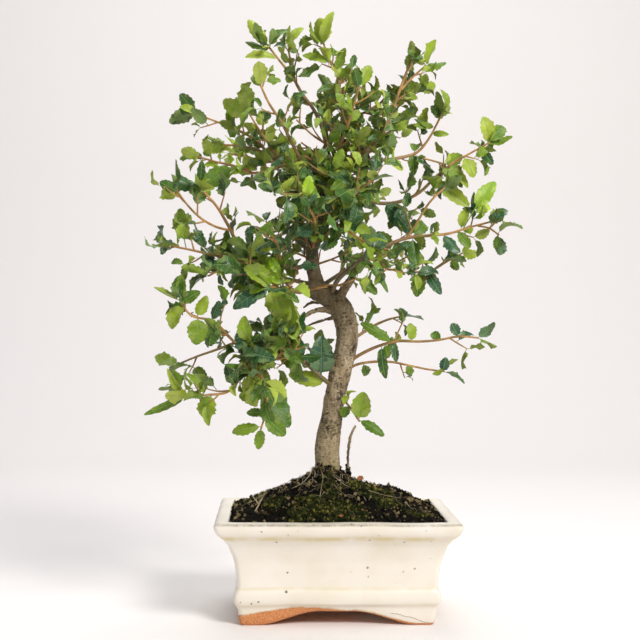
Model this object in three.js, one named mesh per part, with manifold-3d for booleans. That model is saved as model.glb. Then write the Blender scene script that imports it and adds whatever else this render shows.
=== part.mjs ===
// A small-leaved evergreen oak grown as a bonsai, in a cream glazed rectangular pot.
// Millimetres, +Z up, the front of the pot towards -Y. The group stands on the ground plane with the
// middle of its footprint box at the origin.

import * as THREE from "three";
import { mergeVertices } from "three/addons/utils/BufferGeometryUtils.js";
import Module from "manifold-3d";

const wasm = await Module();
wasm.setup();

// Driving dimensions
const POT_LENGTH = 180;
const POT_WIDTH = 130;
const POT_RIM_HEIGHT = 77.3;
const RIM_WIDTH = 10.5;
const WALL = 6.5;
const POT_FLOOR_TOP = 15.5;
const FOOT_HEIGHT = 10.4;
const DRAIN_HOLE_RADIUS = 7;
const DRAIN_HOLE_X = 34;
const MESH_SIDE = 22;
const MESH_THICKNESS = 0.9;
const GAP = 0.3;
const TRUNK_ROOT = 48;
const LEAF_THICKNESS = 0.8;
const SLIVER = 0.03;
const SHOOT_STRETCH = 16;

// The tree is laid out as it looks from in front: across, up, and behind the trunk, seen by an eye at this
// place. What lies further behind is spread out from the eye, so that the outline keeps its shape. The tree
// stands turned a little in the pot, and its whole layout is moved to the right and up by these steps.
const EYE_ACROSS = -12.6;
const EYE_HEIGHT = 224;
const EYE_DISTANCE = 930;
const TREE_TURN = THREE.MathUtils.degToRad(-2);
const TREE_ACROSS = 1.4;
const TREE_RISE = 10.1;
const UP = new THREE.Vector3(0, 0, 1);

function inFront(across, up, behind) {
  const spread = 1 + behind / EYE_DISTANCE;
  const place = new THREE.Vector3(
    EYE_ACROSS + (across + TREE_ACROSS - EYE_ACROSS) * spread,
    behind,
    EYE_HEIGHT + (up + TREE_RISE - EYE_HEIGHT) * spread,
  );
  return place.applyAxisAngle(UP, TREE_TURN);
}

// A seeded run of numbers from 0 to 1.
function seeded(seed) {
  let state = seed;
  return () => {
    state = (state * 1664525 + 1013904223) % 4294967296;
    return state / 4294967296;
  };
}

// Solids

function solidOf(geometry) {
  const bare = new THREE.BufferGeometry();
  bare.setAttribute("position", geometry.getAttribute("position"));
  bare.setIndex(geometry.index);
  const merged = mergeVertices(bare, 1e-4);
  return new wasm.Manifold(
    new wasm.Mesh({
      numProp: 3,
      vertProperties: merged.attributes.position.array,
      triVerts: new Uint32Array(merged.index.array),
    }),
  );
}

function geometryOf(solid) {
  const mesh = solid.getMesh();
  const geometry = new THREE.BufferGeometry();
  geometry.setAttribute("position", new THREE.BufferAttribute(mesh.vertProperties, mesh.numProp));
  geometry.setIndex(new THREE.BufferAttribute(mesh.triVerts, 1));
  return geometry;
}

// The largest body, without the slivers, scraps and sealed hollows that joining and cutting leave.
function mainBody(solid) {
  const bodies = solid.simplify(SLIVER).decompose();
  return bodies.reduce((best, body) => (body.volume() > best.volume() ? body : best));
}

function facesToGeometry(points, faces) {
  const geometry = new THREE.BufferGeometry().setFromPoints(points);
  geometry.setIndex(faces);
  return geometry;
}

// A closed skin over rings with equal counts of points, each end closed by a fan round its middle.
function loft(rings) {
  const sides = rings[0].length;
  const middleOf = (ring) =>
    ring.reduce((sum, point) => sum.add(point), new THREE.Vector3()).divideScalar(sides);
  const points = [...rings.flat(), middleOf(rings[0]), middleOf(rings.at(-1))];
  const startMiddle = points.length - 2;
  const endMiddle = points.length - 1;
  const last = (rings.length - 1) * sides;
  const faces = [];
  for (let side = 0; side < sides; side++) {
    const next = (side + 1) % sides;
    for (let ring = 0; ring < last; ring += sides) {
      const [a, b, c, d] = [ring + side, ring + next, ring + sides + next, ring + sides + side];
      faces.push(a, b, c, a, c, d);
    }
    faces.push(startMiddle, next, side, endMiddle, last + side, last + next);
  }
  return facesToGeometry(points, faces);
}

// The outline of a rectangle with round corners, as points at one height.
function roundedRectangle(halfLength, halfWidth, cornerRadius, height, sideSteps = 1) {
  const CORNER_STEPS = 4;
  const corners = [
    [1, -1, -Math.PI / 2],
    [1, 1, 0],
    [-1, 1, Math.PI / 2],
    [-1, -1, Math.PI],
  ];
  const outline = corners.flatMap(([alongX, alongY, start]) => {
    const middle = [alongX * (halfLength - cornerRadius), alongY * (halfWidth - cornerRadius)];
    return Array.from({ length: CORNER_STEPS + 1 }, (_, step) => {
      const angle = start + (step / CORNER_STEPS) * (Math.PI / 2);
      return new THREE.Vector3(
        middle[0] + cornerRadius * Math.cos(angle),
        middle[1] + cornerRadius * Math.sin(angle),
        height,
      );
    });
  });
  return outline.flatMap((point, index) => {
    const next = outline[(index + 1) % outline.length];
    const steps = index % (CORNER_STEPS + 1) === CORNER_STEPS ? sideSteps : 1;
    return Array.from({ length: steps }, (_, step) => point.clone().lerp(next, step / steps));
  });
}

// The pot

// Height and how far the surface lies inside the rim's outer edge, from the ground up.
const POT_PROFILE = [
  [0, 18.6],
  [12.5, 17.1],
  [16, 14.8],
  [20.5, 13.9],
  [24.5, 14.6],
  [27.5, 16.4],
  [37, 15.9],
  [47, 14.4],
  [54, 12.2],
  [60, 10],
  [64.5, 7.2],
  [68, 3.6],
  [71, 1.2],
  [74.5, 0],
  [76.2, 0.8],
  [POT_RIM_HEIGHT, 4.5],
];
// Height and how far the wall of the cavity lies inside the rim's outer edge.
const CAVITY_PROFILE = [
  [POT_FLOOR_TOP, 27],
  [52, 13.2 + WALL + 4],
  [63, 17],
  [71.5, RIM_WIDTH + 1],
  [POT_RIM_HEIGHT - 1.2, RIM_WIDTH],
  [POT_RIM_HEIGHT + 1, RIM_WIDTH - 1.6],
];
// The recess between the feet, as an inset from the rim's outer edge.
const UNDERSIDE_INSET = 32;
const POT_CORNER_RADIUS = 5;
const CAVITY_CORNER_RADIUS = 4;

function potRing([height, inset], cornerRadius, shrink = 0, sideSteps = 1) {
  return roundedRectangle(
    POT_LENGTH / 2 - inset - shrink,
    POT_WIDTH / 2 - inset - shrink,
    cornerRadius,
    height,
    sideSteps,
  );
}

// A low arch between two feet, cut through the pot from side to side.
const FRONT_ARCH = { halfSpan: 60, halfCrown: 12 };
const SIDE_ARCH = { halfSpan: 30, halfCrown: 12 };

function archCut({ halfSpan, halfCrown }, through) {
  const outline = new THREE.Shape();
  outline.moveTo(-halfSpan, -1);
  outline.lineTo(-halfSpan, 0);
  const half = (halfSpan + halfCrown) / 2;
  outline.bezierCurveTo(-half, 0, -half, FOOT_HEIGHT, -halfCrown, FOOT_HEIGHT);
  outline.lineTo(halfCrown, FOOT_HEIGHT);
  outline.bezierCurveTo(half, FOOT_HEIGHT, half, 0, halfSpan, 0);
  outline.lineTo(halfSpan, -1);
  const geometry = new THREE.ExtrudeGeometry(outline, {
    depth: through,
    bevelEnabled: false,
    curveSegments: 5,
  });
  geometry.translate(0, 0, -through / 2);
  return geometry.rotateX(Math.PI / 2);
}

function makePot() {
  const outer = solidOf(loft(POT_PROFILE.map((level) => potRing(level, POT_CORNER_RADIUS))));
  const cavity = solidOf(loft(CAVITY_PROFILE.map((level) => potRing(level, CAVITY_CORNER_RADIUS))));
  const underside = [-1, FOOT_HEIGHT].map((height) => potRing([height, UNDERSIDE_INSET], 6));
  let pot = outer.subtract(cavity).subtract(solidOf(loft(underside)));
  pot = pot.subtract(solidOf(archCut(FRONT_ARCH, POT_WIDTH)));
  pot = pot.subtract(solidOf(archCut(SIDE_ARCH, POT_LENGTH).rotateZ(Math.PI / 2)));
  for (const x of [-DRAIN_HOLE_X, DRAIN_HOLE_X]) {
    const hole = new THREE.CylinderGeometry(DRAIN_HOLE_RADIUS, DRAIN_HOLE_RADIUS, 3 * POT_FLOOR_TOP, 12);
    pot = pot.subtract(solidOf(hole.rotateX(Math.PI / 2).translate(x, 0, POT_FLOOR_TOP)));
  }
  return mainBody(pot);
}

// A square of plastic mesh over a drain hole.
const MESH_HOLES = 2;

function makeDrainMesh(x) {
  const pitch = MESH_SIDE / (MESH_HOLES + 0.6);
  const middle = POT_FLOOR_TOP + GAP + MESH_THICKNESS / 2;
  let plate = solidOf(new THREE.BoxGeometry(MESH_SIDE, MESH_SIDE, MESH_THICKNESS).translate(x, 0, middle));
  for (let column = 0; column < MESH_HOLES; column++) {
    for (let row = 0; row < MESH_HOLES; row++) {
      const [across, along] = [column, row].map((index) => (index - (MESH_HOLES - 1) / 2) * pitch);
      const hole = new THREE.BoxGeometry(pitch * 0.7, pitch * 0.7, 3 * MESH_THICKNESS);
      plate = plate.subtract(solidOf(hole.translate(x + across, along, middle)));
    }
  }
  return plate;
}

// The soil fills the cavity and is heaped round the trunk, with lumps on its top: a wide mound with a small
// steep one on it and a low one at the right, each with its height and its reach. The mounds are shorter
// from front to back.
const SOIL_EDGE_HEIGHT = 75.9;
const HEAP_MIDDLE = [-6.5, 0];
const WIDE_MOUND = { height: 23, reach: 62 };
const STEEP_MOUND = { height: 12, reach: 16 };
const SIDE_MOUND = { across: 54, height: 8, reach: 22 };
const HEAP_SQUEEZE = 1.25;
const SOIL_CROWN = 1.6;
const LUMP_HEIGHT = 1.7;

function soilHeight(x, y, toEdge) {
  const mound = ({ height, reach, across = HEAP_MIDDLE[0] }) => {
    const away = Math.hypot(x - across, (y - HEAP_MIDDLE[1]) * HEAP_SQUEEZE);
    return height * Math.exp(-((away / reach) ** 2));
  };
  const heap = mound(WIDE_MOUND) + mound(STEEP_MOUND) + mound(SIDE_MOUND);
  return SOIL_EDGE_HEIGHT + heap * (1 - toEdge ** 5) + SOIL_CROWN * (1 - toEdge ** 3);
}

function makeSoil() {
  const draw = seeded(11);
  const RINGS = 8;
  const SIDE_STEPS = 6;
  const ring = (level) => potRing(level, CAVITY_CORNER_RADIUS, GAP, SIDE_STEPS);
  const walls = CAVITY_PROFILE.slice(0, 4).map(ring);
  walls[0].forEach((point) => point.setZ(POT_FLOOR_TOP + GAP));
  const edge = ring([SOIL_EDGE_HEIGHT, RIM_WIDTH + 0.2]);
  const middle = new THREE.Vector3(...HEAP_MIDDLE, 0);
  const top = Array.from({ length: RINGS }, (_, index) => {
    const toEdge = 1 - index / RINGS;
    return edge.map((point) => {
      const place = middle.clone().lerp(point.clone().setZ(0), toEdge);
      const lump = index === 0 ? 0 : LUMP_HEIGHT * (draw() - 0.5);
      return place.setZ(soilHeight(place.x, place.y, toEdge) + lump);
    });
  });
  return solidOf(loft([...walls, ...top]));
}

// Wood

// The line of a stem: straight stretches between points of a smooth curve through its places.
function stemLine(places, stretch = SHOOT_STRETCH) {
  const points = places.map((place) => inFront(...place));
  const curve = new THREE.CatmullRomCurve3(points, false, "catmullrom", 0.5);
  return curve.getSpacedPoints(Math.max(2, Math.round(curve.getLength() / stretch)));
}

// The point and the direction at a share of the way along a line.
function onLine(line, along) {
  const spot = Math.min(along, 0.9999) * (line.length - 1);
  const before = Math.floor(spot);
  const direction = line[before + 1].clone().sub(line[before]);
  const point = line[before].clone().addScaledVector(direction, spot - before);
  return { point, direction: direction.normalize() };
}

// A stem: rings of few sides round a line, with a radius that changes evenly along the list of radii.
function stemSolid(line, radii, sides, grow = 0) {
  const last = line.length - 1;
  const normal = new THREE.Vector3(0.31, -0.9, 0.3);
  const rings = line.map((middle, index) => {
    const direction = line[Math.min(index + 1, last)].clone().sub(line[Math.max(index - 1, 0)]);
    direction.normalize();
    normal.addScaledVector(direction, -normal.dot(direction)).normalize();
    const binormal = new THREE.Vector3().crossVectors(direction, normal);
    const spot = (index / last) * (radii.length - 1);
    const before = Math.min(Math.floor(spot), radii.length - 2);
    const radius = THREE.MathUtils.lerp(radii[before], radii[before + 1], spot - before) + grow;
    return Array.from({ length: sides }, (_, side) => {
      const angle = (side / sides) * 2 * Math.PI;
      return middle
        .clone()
        .addScaledVector(normal, radius * Math.cos(angle))
        .addScaledVector(binormal, radius * Math.sin(angle));
    });
  });
  return solidOf(loft(rings));
}

// The trunk bends left at its top into a pruned end, and the leader rises behind that end. Short stubs are
// left by pruning, and a dead sucker stands beside the trunk, on the same root.
const TRUNK_STEMS = [
  {
    places: [[-10, TRUNK_ROOT, 0], [-10, 71, 0], [-9, 84, 0], [-8, 102, 0], [-8, 113, 0],
      [-6, 128, -1], [-4, 144, -2], [-1, 159, -3], [2, 175, -4], [6, 190, -4], [7, 201, -4],
      [6, 212, -3], [2, 222, -1], [-4, 229, 1], [-13, 234, 3], [-22, 238, 5]],
    radii: [9, 11, 11.6, 10.4, 9.5, 9.2, 8.8, 8.3, 8.1, 8.3, 7.9, 7.8, 8.4, 8.2, 8, 7.6],
    sides: 11,
    stretch: 11,
  },
  {
    places: [[-12, 231, 3], [-19, 248, 8], [-20, 271, 9], [-13, 286, 7], [-9, 301, 4], [-10, 320, 2],
      [-11, 337, 2], [-9, 351, 0]],
    radii: [6.5, 5.4, 5.1, 4.9, 4.5, 4, 3.3, 2.4],
    sides: 7,
    stretch: 14,
  },
  { places: [[-1, 226, -2], [4, 236, -5], [11, 246, -8]], radii: [4.2, 3.4, 3], sides: 6, stretch: 12 },
  {
    places: [[-5, 220, -2], [-12, 221, -5], [-21, 219, -9], [-27, 215, -12]],
    radii: [2.6, 2, 1.6, 1.2],
    sides: 5,
    stretch: 8,
  },
  {
    places: [[-2, 215, -2], [-10, 213, 0], [-20, 210, 4], [-30, 204, 8]],
    radii: [1.6, 1.1, 0.9, 0.7],
    sides: 4,
    stretch: 10,
  },
  {
    places: [[-9, 227, 4], [-16, 226, 11], [-22, 226, 15], [-27, 222, 17]],
    radii: [1.8, 1.2, 1, 0.8],
    sides: 4,
    stretch: 8,
  },
  { places: [[8, 206, -5], [13, 209, -6], [16, 210, -7]], radii: [1.6, 1.2, 0.8], sides: 4, stretch: 6 },
  {
    places: [[-8, 72, 1], [3, 79, 2], [8, 90, 2], [8, 105, 1], [9, 117, 0], [11, 127, 0], [14, 132, 0]],
    radii: [3, 2.2, 1.6, 1.3, 1.2, 1.1, 1],
    sides: 5,
    stretch: 9,
  },
];

const joined = (solids) => solids.reduce((all, solid) => all.add(solid));

function makeTrunk(grow = 0) {
  return joined(
    TRUNK_STEMS.map(({ places, radii, sides, stretch }) =>
      stemSolid(stemLine(places, stretch), radii, sides, grow),
    ),
  );
}

// Leaves

// How each form of leaf is bent: arch along its length, lift of its sides, wave of its edge.
const LEAF_FORMS = [
  [0.25, 0.3, 0.16],
  [0.6, -0.25, 0.2],
  [-0.2, 0.45, 0.12],
  [0.45, 0.1, 0.28],
  [0.8, 0.35, 0.14],
  [0.1, -0.4, 0.22],
  [0.5, 0.55, 0.18],
  [-0.35, 0.2, 0.26],
];
// Places along the blade and its half width there as a share of the widest, on the left and on the right:
// a short tooth stands out at every other place. Then the places of the points on the rib, and the edge
// place from which on the second of them is used.
const BROAD_BLADE = {
  left: [[0.05, 0.3], [0.2, 0.86], [0.38, 1], [0.54, 0.8], [0.7, 0.84]],
  right: [[0.04, 0.24], [0.22, 0.8], [0.36, 0.84], [0.52, 0.98], [0.76, 0.6]],
  rib: [0.02, 0.5],
  change: 3,
};
const SMALL_BLADE = {
  left: [[0.08, 0.42], [0.3, 1], [0.5, 0.8], [0.7, 0.84]],
  right: [[0.1, 0.5], [0.38, 0.94], [0.58, 0.96], [0.74, 0.56]],
  rib: [0.16],
  change: 6,
};

// A leaf as one closed blade. Both faces share the outline and are split into triangles alike, and they
// part at the rib, where the blade is thickest. Its root lies inside the stem.
function leafSolid(leaf, grow = 0) {
  const axis = leaf.tip.clone().sub(leaf.root);
  const length = axis.length();
  axis.normalize();
  const normal = leaf.face.clone().addScaledVector(axis, -leaf.face.dot(axis)).normalize();
  const side = new THREE.Vector3().crossVectors(axis, normal);
  const [arch, lift, wave] = LEAF_FORMS[leaf.form];
  const halfWidth = leaf.width / 2;
  const at = (along, across, raise) => {
    const whole = leaf.stalk + (1 - leaf.stalk) * along;
    const ripple = wave * Math.sin(9 * along + 1.3 * Math.sign(across)) * Math.abs(across);
    const height = arch * length * whole * (1 - whole) + lift * Math.abs(across) + ripple;
    return leaf.root
      .clone()
      .addScaledVector(axis, length * whole)
      .addScaledVector(side, across)
      .addScaledVector(normal, height + raise);
  };
  const { left, right, rib, change } = leaf.blade;
  const edgeOf = (edge, sign) =>
    edge.map(([along, share]) => at(along, sign * (halfWidth * share + grow), 0));
  const points = [
    leaf.root,
    at(1 + grow / length, 0, 0),
    ...edgeOf(left, -1),
    ...edgeOf(right, 1),
    ...rib.map((along) => at(along, 0, LEAF_THICKNESS / 2 + grow)),
    ...rib.map((along) => at(along, 0, -LEAF_THICKNESS / 2 - grow)),
  ];
  const [root, tip, firstLeft] = [0, 1, 2];
  const firstRight = firstLeft + left.length;
  const upperRib = firstRight + right.length;
  const lowerRib = upperRib + rib.length;
  const faces = [];
  // The strip of faces between one side of the outline and the rib points of one face.
  const strip = (edgeStart, ribStart, turned) => {
    const edge = [root, ...left.map((_, index) => edgeStart + index), tip];
    const add = (a, b, c) => faces.push(...(turned ? [a, c, b] : [a, b, c]));
    for (let index = 0; index + 1 < edge.length; index++) {
      add(edge[index + 1], edge[index], ribStart + (index < change ? 0 : 1));
    }
    if (change < edge.length) add(edge[change], ribStart, ribStart + 1);
  };
  strip(firstLeft, upperRib, false);
  strip(firstRight, upperRib, true);
  strip(firstLeft, lowerRib, true);
  strip(firstRight, lowerRib, false);
  return solidOf(facesToGeometry(points, faces));
}

// Leaves stand in pairs round a stem, each pair turned by the golden angle against the last, lean towards
// its tip and face upwards and away from the middle of the crown.
const GOLDEN_ANGLE = 2.39996;
const PAIR_ANGLE = 2.6;
const CROWN_MIDDLE = inFront(-12, 290, 0);
const LEAF_LENGTH = 19;
const ROOT_SINK = 1.4;
// What varies from leaf to leaf: its angle round the stem, its length and width, its lean and its face.
const ANGLE_SPREAD = 0.9;
const LENGTH_SHARE = { least: 0.7, spread: 0.55 };
const WIDTH_SHARE = { least: 0.48, spread: 0.16 };
const SIDE_LEAN = 0.25;
const END_LEAN = 1.1;
const LEAN_SPREAD = 0.7;
const RISE = 0.12;
const FACE_SPREAD = 1.3;
const FACE_UP = 0.55;
const FACE_OUT = 0.6;
const STALK_SHARE = 0.12;

function lineLength(line) {
  return line.reduce((sum, point, index) => sum + (index ? point.distanceTo(line[index - 1]) : 0), 0);
}

function leafOnStem(line, along, turn, lean, draw) {
  const { point: root, direction } = onLine(line, along);
  const across = new THREE.Vector3().crossVectors(direction, UP);
  if (across.length() < 0.2) across.set(1, 0, 0);
  across.normalize();
  const over = new THREE.Vector3().crossVectors(across, direction);
  const angle = turn + (draw() - 0.5) * ANGLE_SPREAD;
  const length = LEAF_LENGTH * (LENGTH_SHARE.least + LENGTH_SHARE.spread * draw());
  const axis = over.multiplyScalar(Math.cos(angle)).addScaledVector(across, Math.sin(angle));
  axis.addScaledVector(direction, lean + LEAN_SPREAD * draw()).addScaledVector(UP, RISE).normalize();
  const outwards = root.clone().sub(CROWN_MIDDLE).setZ(0).normalize();
  const face = new THREE.Vector3(draw() - 0.5, draw() - 0.5, draw() - 0.5).multiplyScalar(FACE_SPREAD);
  face.addScaledVector(UP, FACE_UP).addScaledVector(outwards, FACE_OUT);
  const width = length * (WIDTH_SHARE.least + WIDTH_SHARE.spread * draw());
  const form = Math.floor(draw() * LEAF_FORMS.length);
  const tip = root.clone().addScaledVector(axis, length);
  return { root, tip, face, width, stalk: STALK_SHARE, form, blade: SMALL_BLADE };
}

function leafPairs(line, pairs, start, draw) {
  const sunkEnd = 1 - ROOT_SINK / lineLength(line);
  return Array.from({ length: 2 * pairs }, (_, index) => {
    const pair = Math.floor(index / 2);
    const last = pair === pairs - 1;
    const along = last ? sunkEnd : start + ((1 - start) * (pair + 0.6 * draw())) / pairs;
    const turn = pair * GOLDEN_ANGLE + (index % 2) * PAIR_ANGLE;
    return leafOnStem(line, along, turn, last ? END_LEAN : SIDE_LEAN, draw);
  });
}

// A broad leaf that the outline of the tree shows: where it leaves its stem, where its tip is, its width,
// and how much of it is stalk. It faces the front.
function broadLeaf(line, places, [share, across, up, width, stalk], draw) {
  const along = Math.min(share, 1 - ROOT_SINK / lineLength(line));
  const root = onLine(line, along).point;
  const spot = along * (places.length - 1);
  const before = Math.floor(spot);
  const behind = THREE.MathUtils.lerp(places[before][2], places[before + 1][2], spot - before);
  const tip = inFront(across, up, behind + (draw() - 0.6) * 10);
  const face = new THREE.Vector3(draw() - 0.5, -1, 0.35 + (draw() - 0.5) * 0.9);
  const form = Math.floor(draw() * LEAF_FORMS.length);
  return { root, tip, face, width, stalk, form, blade: BROAD_BLADE };
}

// Branches. Each stem has its places, its radius at both ends, how many pairs of leaves stand on it and
// from where on, and its broad leaves. A branch starts inside what it grows from.
const branch = (name, from, ...stems) => ({ name, from, stems });
const stem = (places, radii, pairs, start, broad = []) => ({ places, radii, pairs, start, broad });

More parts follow.
